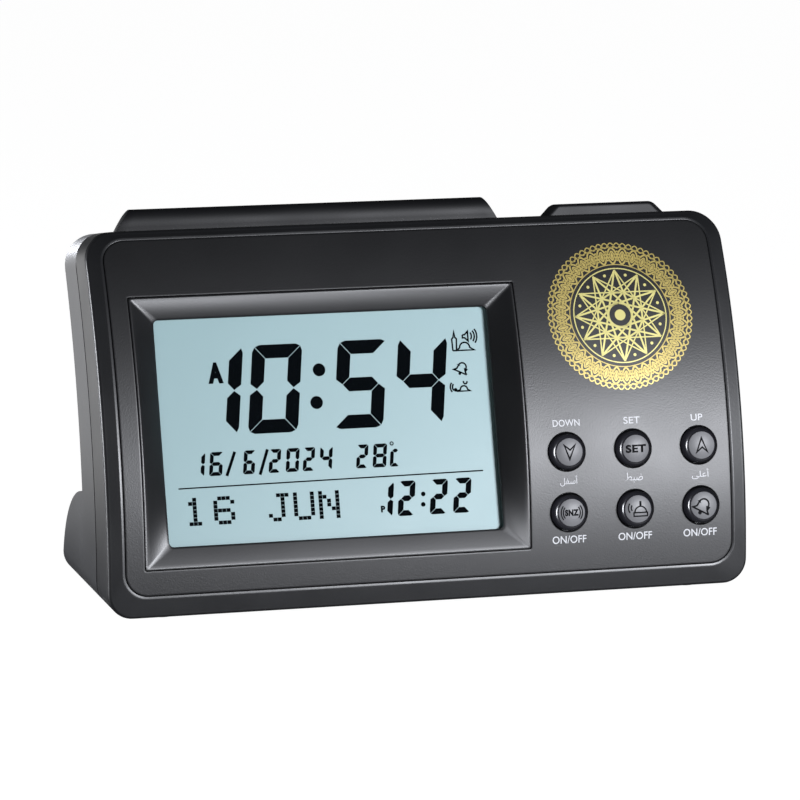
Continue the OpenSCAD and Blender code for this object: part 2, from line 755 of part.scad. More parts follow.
// Flat-topped key with round ends and a raked edge
light_edge = 0.5;
module light_key() color("#2c2d30") placed() on_top(light_x) translate([0, bar_mid_u, 0]) {
    raked(light_len, light_rake, light_h) intersection() {
        translate([0, 0, -0.5]) linear_extrude(light_h + 0.5)
            round_rect(light_len, bar_d, light_corner_r);
        rotate([90, 0, 90]) linear_extrude(light_len, center = true)
            polygon([[-bar_d / 2, -0.5], [bar_d / 2, -0.5], [bar_d / 2, light_h - light_edge],
                [bar_d / 2 - light_edge, light_h], [light_edge - bar_d / 2, light_h],
                [-bar_d / 2, light_h - light_edge]]);
    }
    bar_shank(light_len, [0], light_post_n, light_corner_r);
}

// ---------------------------------------------------------------- speaker

basket_t = 0.8;
basket_y = speaker_y - speaker_rim_t;
magnet_y = speaker_y - 4.4;
speaker_back = speaker_y - speaker_d;

module turned() rotate([-90, 0, 0]) rotate_extrude() children();

module speaker_basket() color("#8f9294") placed() on_back(speaker_x, speaker_s) turned() {
    translate([cone_r, basket_y]) square([speaker_r - cone_r, speaker_rim_t]);
    polygon([[cone_r, basket_y], [cone_r + basket_t, basket_y], [magnet_r + basket_t, magnet_y],
        [magnet_r + basket_t, magnet_y - 0.6], [3, magnet_y - 0.6], [3, magnet_y], [magnet_r, magnet_y]]);
}

module speaker_cone() color("#222325") placed() on_back(speaker_x, speaker_s) turned() {
    polygon([[cone_r - 0.1, speaker_y - 0.3], [cone_r - 0.1, speaker_y - 0.8], [5, magnet_y + 1.2],
        [5, magnet_y + 1.8]]);
    polygon([[0, magnet_y + 2.9], [3, magnet_y + 2.4], [5.2, magnet_y + 1.3], [5.2, magnet_y + 0.9],
        [3, magnet_y + 1.9], [0, magnet_y + 2.4]]);
    translate([4, magnet_y + 0.1]) square([1.2, 1.2]);
}

module speaker_magnet() color("#3b3d3f") placed() on_back(speaker_x, speaker_s) {
    rod(magnet_r, speaker_back + 1, magnet_y - 0.6);
    rod(magnet_r - 0.8, speaker_back, speaker_back + 1);
}

module speaker_gasket() color("#151515") placed() on_back(speaker_x, speaker_s) difference() {
    rod(speaker_r, gasket_y - gasket_t, gasket_y);
    rod(cone_r, gasket_y - gasket_t - over, gasket_y + over);
}

// ---------------------------------------------------------------- batteries

nub_r = 1.9;
nub_h = 0.8;
plate_t = 0.4;
spring_len = contact_room - 2 * plate_t;
cell_turn = [1, -1, 1];

// Places something at each cell, with +X towards its positive end
module each_cell() on_back(bay_x, bay_s) for (k = [0 : 2])
    translate([0, cell_y, (k - 1) * cell_pitch]) rotate([0, cell_turn[k] > 0 ? 0 : 180, 0]) children();

module battery_cells() color("#b98a3a") placed() each_cell()
    translate([bay_w / 2 - plate_t - cell_len, 0, 0]) rotate([0, 90, 0]) {
        cylinder(r = cell_dia / 2, h = cell_len - nub_h);
        cylinder(r = nub_r, h = cell_len);
    }

module battery_plates() color("#c8cacb") placed() each_cell() for (x = [-bay_w / 2, bay_w / 2 - plate_t])
    translate([x, -cell_dia / 2 + 0.6, -cell_dia / 2 + 0.6])
        cube([plate_t, cell_dia - 1.2, cell_dia - 1.2]);

// One spring: a wire of six-sided section wound round the X axis, wide end first
spring_r0 = 3.6;
spring_r1 = 2.4;
wire_r = 0.3;
spring_turns = 3.5;
spring_rings = 42;
wire_sides = 6;
function spring_point(i, k) = let (t = i / spring_rings, a = 360 * spring_turns * t,
    r = spring_r0 + (spring_r1 - spring_r0) * t + wire_r * cos(360 * k / wire_sides),
    x = wire_r + 0.02 + (spring_len - 2 * wire_r - 0.04) * t + wire_r * sin(360 * k / wire_sides))
    [x, r * cos(a), r * sin(a)];

module spring() polyhedron(
    points = [for (i = [0 : spring_rings], k = [0 : wire_sides - 1]) spring_point(i, k)],
    faces = concat(
        [for (i = [0 : spring_rings - 1], k = [0 : wire_sides - 1])
            let (a = wire_sides * i + k, b = wire_sides * i + (k + 1) % wire_sides)
            each [[a, b, b + wire_sides], [a, b + wire_sides, a + wire_sides]]],
        [for (k = [1 : wire_sides - 2]) [0, k + 1, k]],
        [for (k = [1 : wire_sides - 2]) [for (j = [0, k, k + 1]) wire_sides * spring_rings + j]]));

module battery_springs() color("#d4d6d7") placed() each_cell()
    translate([plate_t - bay_w / 2, 0, 0]) spring();

// Door in the back wall: it turns about its lower edge on two tabs
grip_w = 16;
module battery_door() color("#34363a") placed() {
    difference() {
        intersection() {
            on_back(bay_x, bay_s) bay_box(door_w, door_h, -wall - 3);
            difference() {
                behind(case_d, -door_t);
                behind(case_d);
            }
        }
        on_back(bay_x, bay_s) for (k = [0 : 3])
            translate([-grip_w / 2, arc_sag(door_h / 2 - 4 - 2 * k) - 0.5, door_h / 2 - 4.5 - 2 * k])
                cube([grip_w, 3, 1]);
    }
    on_back(bay_x, hinge_s) for (x = [-1, 1])
        translate([x * hinge_tab_x - hinge_tab_w / 2, -hinge_back, 0]) {
            translate([0, 0, -hinge_tab_len]) cube([hinge_tab_w, hinge_back - hinge_front, hinge_tab_len + 1.8]);
            translate([0, 0, 0.6]) cube([hinge_tab_w, hinge_back - door_t + 0.4, 1.2]);
        }
}

// How far the back wall's surface falls away from its tangent at height z
function arc_sag(z) = face_r - sqrt(face_r * face_r - z * z);

// ---------------------------------------------------------------- fasteners and pads

module case_screws() color("#8c8f92") placed() for (x = [-1, 1], z = [case_screw_low, case_screw_high])
    translate([x * case_screw_x, arc_y(z), z]) {
        rod(screw_head_r, screw_seat_y, screw_seat_y + screw_head_h);
        rod(case_screw_r, joint_d - screw_bite, screw_seat_y + over / 2);
    }

module board_screws() color("#a4a7a9") placed() {
    screen_posts() small_screw(board_back, board_t + 3);
    on_face(keys_x, keys_s) for (x = [-1, 1]) translate([x * key_post_x, 0, key_post_z])
        small_screw(key_board_y + key_board_t, key_board_t + 4.5);
    on_top() for (x = top_post_x) translate([x, top_post_u, top_board_n - key_board_t])
        rotate([-90, 0, 0]) small_screw(0, key_board_t + 4.5);
}

module rubber_pads() color("#1a1a1b") placed() for (x = [-1, 1], y = [pad_front_y, pad_rear_y])
    translate([x * pad_x, y, -pad_proud]) cylinder(r = pad_r, h = pad_t);

front_frame();
mid_housing();
rear_shell();
front_panel();
screen_bezel();
lens_window();
lcd_glass();
lcd_holder();
light_guide();
backlight_leds();
contact_strip();
main_board();
board_chips();
quartz_crystal();
audio_capacitor();
temperature_sensor();
key_board();
key_switches();
down_key();
set_key();
up_key();
snooze_key();
azan_key();
alarm_key();
snooze_bar();
light_key();
top_board();
top_switches();
speaker_basket();
speaker_cone();
speaker_magnet();
speaker_gasket();
battery_cells();
battery_springs();
battery_plates();
battery_door();
case_screws();
board_screws();
rubber_pads();
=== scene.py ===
# %% [markdown]
# A desk alarm clock with a curved, leaning face. The solids come packed from the CAD model as a
# frame that stays where it is. This script dresses them: it gives rounded skins to the parts that
# show, prints the display, the words and the ornament, and mixes the finishes from shader nodes.

import bmesh
import bpy
import numpy as np
from mathutils import Matrix, Vector
from mathutils.geometry import delaunay_2d_cdt


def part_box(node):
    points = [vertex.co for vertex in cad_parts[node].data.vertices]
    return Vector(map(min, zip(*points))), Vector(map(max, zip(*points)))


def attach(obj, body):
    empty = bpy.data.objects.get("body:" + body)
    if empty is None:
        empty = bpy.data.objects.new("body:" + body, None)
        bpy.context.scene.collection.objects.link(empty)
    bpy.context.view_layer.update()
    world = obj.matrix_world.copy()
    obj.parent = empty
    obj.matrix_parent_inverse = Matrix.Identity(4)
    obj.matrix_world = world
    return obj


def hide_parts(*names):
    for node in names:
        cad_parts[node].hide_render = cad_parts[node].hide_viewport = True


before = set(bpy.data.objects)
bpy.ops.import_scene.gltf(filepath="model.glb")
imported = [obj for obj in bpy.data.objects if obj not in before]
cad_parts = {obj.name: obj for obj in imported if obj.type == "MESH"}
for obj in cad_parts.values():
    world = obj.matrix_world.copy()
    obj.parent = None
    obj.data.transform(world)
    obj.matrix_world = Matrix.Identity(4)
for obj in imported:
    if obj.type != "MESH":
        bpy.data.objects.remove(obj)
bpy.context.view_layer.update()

# %% [markdown]
# All shapes below are worked out in millimetres, in the drawing's own coordinates: y is 0 at the
# foot of the face and z is 0 at the underside of the case. The front frame touches both planes,
# so its box tells where that corner lies in the frame.

# %% From the drawing to the frame
MM = 0.001
corner = np.array(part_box("front_frame")[0])
SHIFT = np.array([0.0, corner[1], corner[2]])


def to_frame(points):
    """Millimetres on the drawing to metres in the frame: scale, then add the case's corner."""
    return np.asarray(points, float) * MM + SHIFT


def new_object(name, data):
    """An object made round its data and linked to the scene."""
    thing = bpy.data.objects.new(name, data)
    bpy.context.scene.collection.objects.link(thing)
    return thing


print("case corner in mm:", np.round(SHIFT / MM, 3))

# %% [markdown]
# The photograph was taken from the front, a little to the clock's left and from above, with a long
# lens. The camera's three axes were fitted to the edges of the case. The picture is 800 pixels
# square, and the focal length is given in those pixels.

# %% Camera
RIGHT = np.array([0.9566, -0.2911, 0.0148])
UP = np.array([0.0459, 0.2006, 0.9786])
FORWARD = np.array([0.2879, 0.9354, -0.2052])
EYE = np.array([-369.9, -1171.9, 313.7])
FOCAL_PIXELS = 4835.4
PICTURE = 800
OFF_CENTRE = (-4, -8)
SENSOR_WIDTH = 36.0

camera_data = bpy.data.cameras.new("camera")
camera = new_object("camera", camera_data)
camera_data.sensor_width = SENSOR_WIDTH
camera_data.lens = FOCAL_PIXELS * SENSOR_WIDTH / PICTURE
camera_data.shift_x, camera_data.shift_y = (p / PICTURE for p in OFF_CENTRE)
camera_data.clip_end = 50.0
pose = np.eye(4)
pose[:3, 0], pose[:3, 1], pose[:3, 2] = RIGHT, UP, -FORWARD
pose[:3, 3] = to_frame(EYE)
camera.matrix_world = Matrix(pose.tolist())
bpy.context.scene.camera = camera
print("lens in mm:", round(camera_data.lens, 1))

# %% [markdown]
# The face is part of a cylinder that lies along X. A point of the face is told by x, by the length
# s along the curve from the base, and by the depth n behind the surface.

# %% The curved face
FACE_R, FACE_DROP = 175.0, 3.0
FACE_CY = np.sqrt(FACE_R**2 - FACE_DROP**2)
FACE_A0 = np.arcsin(FACE_DROP / FACE_R)
CASE_HALF, CASE_H = 87.5, 96.0
TOP_SLOPE = np.radians(11.0)
TOP_Y = FACE_CY - np.sqrt(FACE_R**2 - (CASE_H + FACE_DROP) ** 2)
FACE_S1 = (np.arcsin((CASE_H + FACE_DROP) / FACE_R) - FACE_A0) * FACE_R


def stack(*parts):
    """Several coordinate arrays, spread to one shape, as the last axis of one array."""
    return np.stack(np.broadcast_arrays(*[np.asarray(p, float) for p in parts]), axis=-1)


def on_face(x, s, n=0.0):
    """A point on the face: turn by s over the radius about the cylinder's axis, n inside it."""
    a = FACE_A0 + np.asarray(s, float) / FACE_R
    r = FACE_R - np.asarray(n, float)
    return stack(x, FACE_CY - r * np.cos(a), r * np.sin(a) - FACE_DROP)


def arc_y(z, depth=0.0):
    """Depth coordinate of the face at height z, moved back by depth."""
    return FACE_CY + depth - np.sqrt(FACE_R**2 - (z + FACE_DROP) ** 2)


def on_top(x, u, n):
    """A point over the sloping top: u back along the slope from the front edge, n square to it."""
    c, s = np.cos(TOP_SLOPE), np.sin(TOP_SLOPE)
    u, n = np.asarray(u, float), np.asarray(n, float)
    return stack(x, TOP_Y + u * c + n * s, CASE_H - u * s + n * c)


def tangent_plane(s0):
    """A flat frame that touches the face at s0: maps x, height v and depth y into the drawing."""
    a = FACE_A0 + s0 / FACE_R
    start = on_face(0.0, s0)
    deep = np.array([0.0, np.cos(a), -np.sin(a)])
    high = np.array([0.0, np.sin(a), np.cos(a)])

    def place(x, v, y):
        p = stack(x, v, y)
        return start + p[..., :1] * [1, 0, 0] + p[..., 1:2] * high + p[..., 2:3] * deep

    return place


print("length of the face along its curve:", round(FACE_S1, 2), "mm")

# %% [markdown]
# Small helpers turn arrays of points into meshes. A closed skin has its doubles merged and its
# faces turned outwards, and edges stay sharp only where two faces meet at a clear angle.

# %% Mesh helpers
SHARP = np.radians(32)
DOUBLE, SLIVER = 2e-7, 1e-7  # metres
HOLD = 0.3  # next to a corner or a lip, a point this far off keeps the shading of the flat even


def finish_piece(name, points, faces, material, body, slot, replaced=(), smooth=True):
    """Points in mm and faces as index tuples become an object that rides on a body."""
    mesh = bpy.data.meshes.new(name)
    mesh.from_pydata(to_frame(points).tolist(), [], [tuple(int(i) for i in f) for f in faces])
    bm = bmesh.new()
    bm.from_mesh(mesh)
    bmesh.ops.remove_doubles(bm, verts=bm.verts, dist=DOUBLE)
    bmesh.ops.dissolve_degenerate(bm, edges=bm.edges, dist=SLIVER)
    bmesh.ops.recalc_face_normals(bm, faces=bm.faces)
    bm.to_mesh(mesh)
    bm.free()
    if smooth:
        mesh.shade_smooth()
        mesh.set_sharp_from_angle(angle=SHARP)
    mesh.materials.append(material)
    piece = new_object(name, mesh)
    if replaced:
        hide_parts(*replaced)
    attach(piece, body)


def strip_faces(rows, count, closed_rows=False):
    """Quads between neighbouring loops of a grid of rows by count points."""
    r = np.arange(rows if closed_rows else rows - 1)[:, None]
    c = np.arange(count)[None, :]
    r2, c2 = (r + 1) % rows, (c + 1) % count
    return np.stack([r * count + c, r * count + c2, r2 * count + c2, r2 * count + c],
                    axis=-1).reshape(-1, 4)


def loft(rings, closed_rows=False):
    """Rings of equal length, one after the other, as points and quads."""
    grid = np.stack(rings)
    return grid.reshape(-1, 3), strip_faces(len(rings), grid.shape[1], closed_rows)


def join(parts):
    """Several (points, faces) pairs as one."""
    points, faces, start = [], [], 0
    for p, f in parts:
        points.append(np.asarray(p))
        faces += [tuple(np.asarray(q) + start) for q in f]
        start += len(p)
    return np.concatenate(points), faces


def turn(profile, count):
    """A profile of (radius, height) turned about the height axis, as (x, v, y) triples."""
    a = np.linspace(0, 2 * np.pi, count, endpoint=False)
    profile = np.asarray(profile, float)
    return stack(profile[:, :1] * np.cos(a), profile[:, :1] * np.sin(a), profile[:, 1:])


def arc_points(cx, cy, r, a0, a1, count):
    """Points on an arc, angles in degrees."""
    a = np.radians(np.linspace(a0, a1, count))
    return stack(cx + r * np.cos(a), cy + r * np.sin(a))


def round_rect(half_w, half_h, r, steps=8, cx=0.0, cy=0.0, side=1):
    """A rounded rectangle as a loop of points. With side, each straight edge is divided too, and
    a point near each corner keeps the shading of the corner out of the edge."""
    w, h = half_w - r, half_h - r
    corners = [(w, h, 0), (-w, h, 90), (-w, -h, 180), (w, -h, 270)]
    loop = []
    for k, (x, y, a) in enumerate(corners):
        loop.append(arc_points(x, y, r, a, a + 90, steps + 1))
        if side > 1:
            nx, ny, na = corners[(k + 1) % 4]
            end, begin = loop[-1][-1], arc_points(nx, ny, r, na, na, 1)[0]
            near = min(HOLD / np.linalg.norm(begin - end), 0.5 / side)
            t = np.concatenate([[near], np.linspace(0, 1, side + 1)[1:-1], [1 - near]])[:, None]
            loop.append(end * (1 - t) + begin * t)
    return np.concatenate(loop) + [cx, cy]


def inside(points, loop):
    """True for points inside a closed loop: an even count of crossings is outside."""
    x, y = points[:, :1], points[:, 1:]
    ax, ay = loop[:, 0], loop[:, 1]
    bx, by = np.roll(ax, -1), np.roll(ay, -1)
    crosses = (ay > y) != (by > y)
    with np.errstate(divide="ignore", invalid="ignore"):
        cut = ax + (y - ay) * (bx - ax) / (by - ay)
    return (crosses & (x < cut)).sum(axis=1) % 2 == 1


def plate(outer, holes, step):
    """A flat region with holes, in triangles: Delaunay over its edges and a grid of points."""
    loops = [outer] + list(holes)
    lo, hi = outer.min(axis=0), outer.max(axis=0)
    gx, gy = np.meshgrid(np.arange(lo[0] + step[0] / 2, hi[0], step[0]),
                         np.arange(lo[1] + step[1] / 2, hi[1], step[1]))
    grid = stack(gx.ravel(), gy.ravel())
    edge = np.concatenate(loops)
    near = np.min(np.linalg.norm(grid[:, None, :] - edge[None], axis=-1), axis=1)
    keep = inside(grid, outer) & (near > 0.45 * min(step))
    for hole in holes:
        keep &= ~inside(grid, hole)
    edges, start = [], 0
    for loop in loops:
        n = len(loop)
        edges += [(start + i, start + (i + 1) % n) for i in range(n)]
        start += n
    verts = [Vector(p) for p in np.concatenate([edge, grid[keep]])]
    out = delaunay_2d_cdt(verts, edges, [], 0, 1e-7)
    points, tris = np.array([tuple(v) for v in out[0]]), np.array(list(out[2]))
    middle = points[tris].mean(axis=1)
    good = inside(middle, outer)
    for hole in holes:
        good &= ~inside(middle, hole)
    return points, tris[good]


# %% [markdown]
# Print, display segments and ornament are all thin: a flat outline in a small plane, given a few
# hundredths of a millimetre of height and laid on whatever carries it. A place is a function that
# maps x, v and height into the drawing.

# %% Print helpers
INK, ROOT = 0.03, -0.01


def moved(place, x0, v0):
    """The same place with its middle moved to x0, v0."""
    return lambda x, v, high: place(np.asarray(x) + x0, np.asarray(v) + v0, high)


def prisms(polygons, place):
    """Convex outlines as thin closed slabs."""
    parts = []
    for poly in polygons:
        poly = np.asarray(poly, float)
        n = len(poly)
        top, bottom = (place(poly[:, 0], poly[:, 1], high) for high in (INK, ROOT))
        sides = [(i, (i + 1) % n, n + (i + 1) % n, n + i) for i in range(n)]
        parts.append((np.concatenate([top, bottom]),
                      [tuple(range(n))[::-1], tuple(range(n, 2 * n))] + sides))
    return join(parts)


def ribbon(path, width, place, closed=False):
    """A line of even width along a flat path. At each corner both sides move out along the middle
    of the two edges' normals, by half the width over the cosine between them."""
    path = np.asarray(path, float)
    step = np.roll(path, -1, axis=0) - path
    step /= np.linalg.norm(step, axis=1, keepdims=True) + 1e-12
    after = stack(-step[:, 1], step[:, 0])
    before = np.roll(after, 1, axis=0)
    if not closed:
        before[0], after[-1] = after[0], before[-1]
    middle = before + after
    middle /= np.linalg.norm(middle, axis=1, keepdims=True) + 1e-12
    reach = np.maximum((middle * after).sum(axis=1, keepdims=True), 0.35)
    side = middle / reach * width / 2
    left, right = path + side, path - side
    rings = np.stack([place(p[:, 0], p[:, 1], high) for p, high in
                      ((left, INK), (right, INK), (right, ROOT), (left, ROOT))], axis=1)
    n = len(path)
    faces = [tuple(f) for f in strip_faces(n, 4, closed_rows=closed)]
    if not closed:
        faces += [(0, 1, 2, 3), (4 * n - 1, 4 * n - 2, 4 * n - 3, 4 * n - 4)]
    return rings.reshape(-1, 3), faces


def disc(x, v, r, count=20):
    """A round outline."""
    return arc_points(x, v, r, 0, 360 - 360 / count, count)


# %% [markdown]
# Moulded plastic is never quite even: a fine grain catches the light, and the gloss drifts a
# little from place to place. One node group makes both from noise and every finish uses it with
# its own values. The noise reads Object coordinates, so the grain stays put on the piece.

# %% Grain shared by the finishes


def preset(node, **values):
    """Fills a node's inputs by name, with _ for a space."""
    for label, value in values.items():
        node.inputs[label.replace("_", " ")].default_value = value
    return node


def wire(tree, *wires):
    """Joins sockets: each wire is a node, its output, the next node and that one's input."""
    for source, out, target, into in wires:
        tree.links.new(source.outputs[out], target.inputs[into])


def add_nodes(tree, *kinds):
    """New shader nodes of these kinds."""
    return [tree.nodes.new("ShaderNode" + kind) for kind in kinds]


def grain_group():
    """Node group: grain size and height and two roughness limits in, roughness and normal out."""
    group = bpy.data.node_groups.new("fine_grain", "ShaderNodeTree")
    for label, value in (("Scale", 900.0), ("Height", 0.02), ("Smooth", 0.3), ("Rough", 0.4)):
        group.interface.new_socket(label, in_out="INPUT",
                                   socket_type="NodeSocketFloat").default_value = value
    for label, kind in (("Roughness", "Float"), ("Normal", "Vector"), ("Drift", "Float")):
        group.interface.new_socket(label, in_out="OUTPUT", socket_type="NodeSocket" + kind)
    given, result = group.nodes.new("NodeGroupInput"), group.nodes.new("NodeGroupOutput")
    place, fine, broad, limits, bump = add_nodes(group, "TexCoord", "TexNoise", "TexNoise",
                                                 "MapRange", "Bump")
    preset(fine, Detail=2.0)
    preset(broad, Scale=45.0)
    preset(bump, Distance=0.0002)
    preset(limits, From_Min=0.3, From_Max=0.7)
    wire(group, (place, "Object", fine, "Vector"), (place, "Object", broad, "Vector"),
         (given, "Scale", fine, "Scale"), (given, "Height", bump, "Strength"),
         (given, "Smooth", limits, "To Min"), (given, "Rough", limits, "To Max"),
         (broad, "Fac", limits, "Value"), (fine, "Fac", bump, "Height"),
         (limits, "Result", result, "Roughness"), (bump, "Normal", result, "Normal"),
         (broad, "Fac", result, "Drift"))
    return group


GRAIN = grain_group()


def finish(name, color, rough=(0.35, 0.45), grain=900.0, height=0.03, tint=0.06, **sockets):
    """A material: the grain group feeds roughness and normal, and its drift shades the colour."""
    material = bpy.data.materials.new(name)
    material.use_nodes = True
    tree = material.node_tree
    shader = tree.nodes["Principled BSDF"]
    group, ramp = add_nodes(tree, "Group", "ValToRGB")
    group.node_tree = GRAIN
    preset(group, Scale=grain, Height=height, Smooth=rough[0], Rough=rough[1])
    for stop, spot, share in zip(ramp.color_ramp.elements, (0.3, 0.7), (1 - tint, 1 + tint)):
        stop.color, stop.position = (*[min(c * share, 1.0) for c in color], 1.0), spot
    wire(tree, (group, "Roughness", shader, "Roughness"), (group, "Normal", shader, "Normal"),
         (group, "Drift", ramp, "Fac"), (ramp, "Color", shader, "Base Color"))
    preset(shader, **sockets)
    return material


# %% [markdown]
# Each finish is told by its colour, the two limits of its roughness, the size and height of its
# grain, and how far the tint drifts. Case, panel and keys are dark satin plastics that differ only
# a little, the print is white or gold, and the parts inside get the finish that such parts have.
# A CAD node that keeps its shape gets its finish in its material slot.

# %% Finishes
CASE = finish("graphite_plastic", (0.009, 0.0094, 0.0105), (0.32, 0.4), 1400, 0.05)
PANEL = finish("satin_black_panel", (0.007, 0.0072, 0.008), (0.385, 0.415), 2600, 0.12)
BEZEL = finish("satin_black_bezel", (0.003, 0.0032, 0.0038), (0.34, 0.38), 1800, 0.03)
GAP = finish("shadow_black", (0.004, 0.004, 0.004), (0.4, 0.5))
KEY_SIDE = finish("black_gloss_key", (0.004, 0.004, 0.005), (0.2, 0.26), 700, 0.01,
                  Specular_IOR_Level=0.3)
KEY_FACE = finish("grey_key_face", (0.145, 0.146, 0.153), (0.4, 0.44), 2600, 0.15)
ENGRAVED = finish("engraved_black", (0.004, 0.004, 0.005), (0.7, 0.8), Specular_IOR_Level=0.1)
TOP_KEY = finish("top_key_plastic", (0.006, 0.0062, 0.007), (0.42, 0.48), 1400, 0.04,
                 Specular_IOR_Level=0.18)
LABEL = finish("label_white", (0.62, 0.63, 0.65), (0.5, 0.6))
SEGMENT = finish("segment_black", (0.0015, 0.002, 0.003), (0.5, 0.6), Specular_IOR_Level=0.0)
DISPLAY = finish("display_glass", (0.28, 0.43, 0.447), (0.35, 0.4), 300, 0.0, 0.015)
GOLD = finish("gold_print", (0.5, 0.395, 0.12), (0.34, 0.42), 1500, 0.05, 0.12, Metallic=0.4)
PALE_GOLD = finish("pale_gold_print", (0.66, 0.6, 0.22), (0.34, 0.42), 1500, 0.05, 0.1,
                   Metallic=0.3)
CLEAR = finish("clear_window", (0.02, 0.03, 0.03), (0.03, 0.06), 400, 0.0, 0.01, Alpha=0.03)
WHITE = finish("white_plastic", (0.75, 0.75, 0.72), (0.5, 0.6))
GUIDE = finish("light_guide_plastic", (0.85, 0.88, 0.86), (0.1, 0.15))
LED = finish("led_lens", (0.9, 0.88, 0.7), (0.1, 0.15))
PINK_RUBBER = finish("contact_rubber", (0.7, 0.3, 0.4), (0.6, 0.7))
BOARD = finish("solder_mask_green", (0.02, 0.14, 0.05), (0.3, 0.4), 500, 0.1)
RESIN = finish("chip_resin", (0.01, 0.01, 0.01), (0.2, 0.4), 300, 0.1)
TIN = finish("tinned_steel", (0.62, 0.62, 0.6), (0.25, 0.4), 600, 0.05, Metallic=1.0)
SLEEVE = finish("capacitor_sleeve", (0.015, 0.03, 0.07), (0.2, 0.3))
SENSOR = finish("sensor_resin", (0.06, 0.03, 0.015), (0.3, 0.4))
ZINC = finish("zinc_plate", (0.45, 0.46, 0.48), (0.3, 0.45), 700, 0.05, Metallic=1.0)
CONE = finish("speaker_paper", (0.02, 0.02, 0.022), (0.7, 0.85), 1200, 0.4)
MAGNET = finish("coated_ferrite", (0.04, 0.04, 0.045), (0.5, 0.6), 900, 0.2)
RUBBER = finish("black_rubber", (0.015, 0.015, 0.015), (0.7, 0.8), 1300, 0.2)
CELL = finish("cell_sleeve", (0.5, 0.3, 0.06), (0.2, 0.3), 300, 0.02, Metallic=0.6)

NODE_FINISH = (
    (CASE, "rear_shell battery_door front_frame mid_housing"), (PANEL, "front_panel"),
    (BEZEL, "screen_bezel"), (CLEAR, "lens_window"), (DISPLAY, "lcd_glass"), (WHITE, "lcd_holder"),
    (GUIDE, "light_guide"), (LED, "backlight_leds"), (PINK_RUBBER, "contact_strip"),
    (BOARD, "main_board key_board top_board"), (RESIN, "board_chips"),
    (TIN, "quartz_crystal key_switches top_switches battery_springs battery_plates"),
    (SLEEVE, "audio_capacitor"), (SENSOR, "temperature_sensor"),
    (ZINC, "speaker_basket case_screws board_screws"), (CONE, "speaker_cone"),
    (MAGNET, "speaker_magnet"), (RUBBER, "speaker_gasket rubber_pads"), (CELL, "battery_cells"),
)
for material, names in NODE_FINISH:
    for name in names.split():
        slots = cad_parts[name].data.materials
        slots.clear()
        slots.append(material)
print("finishes on CAD nodes:", len(NODE_FINISH))

# %% [markdown]
# The case's outline, seen from the front, is a rectangle with round corners whose top slopes to
# the back. Every skin below is built from rings that run round this outline. A ring is drawn in by
# some millimetres and cuts the outline where it meets a surface behind the face.

# %% Rings round the case
BASE_CORNER, TOP_CORNER = 6.5, 8.0
EDGE_STEPS, CORNER_STEPS, SIDE_STEPS = 70, 12, 60


def slope_reach(n, depth):
    """How far back along the top, at height n over it, the arc at this depth is met."""
    c, s = np.cos(TOP_SLOPE), np.sin(TOP_SLOPE)
    y, z = TOP_Y + n * s - FACE_CY - depth, CASE_H + FACE_DROP + n * c
    b = y * c - z * s
    return -b - np.sqrt(b * b - (y * y + z * z - FACE_R**2))


def ring(inset, depth):
    """Loop of points on the outline drawn in by inset, where it meets the arc at that depth.

    The lower half is found from its height z, the upper corners and edge from their height n
    over the sloping top. The loop starts at the lower left and runs to the right."""
    w = CASE_HALF - inset
    rb, rt = max(BASE_CORNER - inset, 0.3), max(TOP_CORNER - inset, 0.3)
    q = np.linspace(0, np.pi / 2, CORNER_STEPS + 1)
    x_low = np.linspace(-(w - rb), w - rb, EDGE_STEPS)[1:-1]
    x_top = np.linspace(w - rt, -(w - rt), EDGE_STEPS)[1:-1]
    n_right = -inset - rt + rt * np.sin(q)
    z_end = on_top(0, slope_reach(n_right[:1], depth), n_right[:1])[0, 2]
    z_side = np.linspace(inset + rb, z_end, SIDE_STEPS)[1:-1]

    def low(x, z):
        return stack(x, arc_y(z, depth), z)

    def high(x, n):
        return on_top(x, slope_reach(n, depth), n)

    z_corner = inset + rb - rb * np.cos(q)
    return np.concatenate([
        low(x_low, np.full_like(x_low, inset)),
        low(w - rb + rb * np.sin(q), z_corner),
        low(w, z_side),
        high(w - rt + rt * np.cos(q), n_right),
        high(x_top, np.full_like(x_top, -inset)),
        high(-(w - rt + rt * np.cos(q))[::-1], n_right[::-1]),
        low(-w, z_side[::-1]),
        low(-(w - rb + rb * np.sin(q))[::-1], z_corner[::-1]),
    ])


PANEL_HALF, PANEL_S0, PANEL_S1, PANEL_R = CASE_HALF - 4.45, 5.95, FACE_S1 - 2.6, 6.0


def panel_loop(gap):
    """The panel's edge drawn in by gap, in x and s, with as many points as a ring has."""
    w, r = PANEL_HALF - gap, PANEL_R - gap
    s0, s1 = PANEL_S0 + gap, PANEL_S1 - gap
    q = np.linspace(0, np.pi / 2, CORNER_STEPS + 1)
    x_low = np.linspace(-(w - r), w - r, EDGE_STEPS)[1:-1]
    s_side = np.linspace(s0 + r, s1 - r, SIDE_STEPS)[1:-1]
    lower = [(x_low, np.full_like(x_low, s0)), (w - r + r * np.sin(q), s0 + r - r * np.cos(q))]
    upper = [(w - r + r * np.cos(q), s1 - r + r * np.sin(q)), (-x_low, np.full_like(x_low, s1)),
             (-(w - r + r * np.cos(q))[::-1], s1 - r + r * np.sin(q)[::-1])]
    parts = lower + [(np.full_like(s_side, w), s_side)] + upper
    parts += [(np.full_like(s_side, -w), s_side[::-1]), (-lower[1][0][::-1], lower[1][1][::-1])]
    return np.concatenate([stack(*p) for p in parts])


def wrap(loop, n):
    """A flat loop of x and s laid on the face at depth n."""
    return on_face(loop[:, 0], loop[:, 1], n)


print("points in a ring:", len(ring(0, 0)), len(panel_loop(0)))

# %% [markdown]
# The front frame is one moulding. Its rim falls away a little from the panel to the sides, so the
# four strips mirror different parts of the room, and a quarter round turns it into the side. The
# section runs from the panel's seat over the rim to the shadow groove, and closes behind.

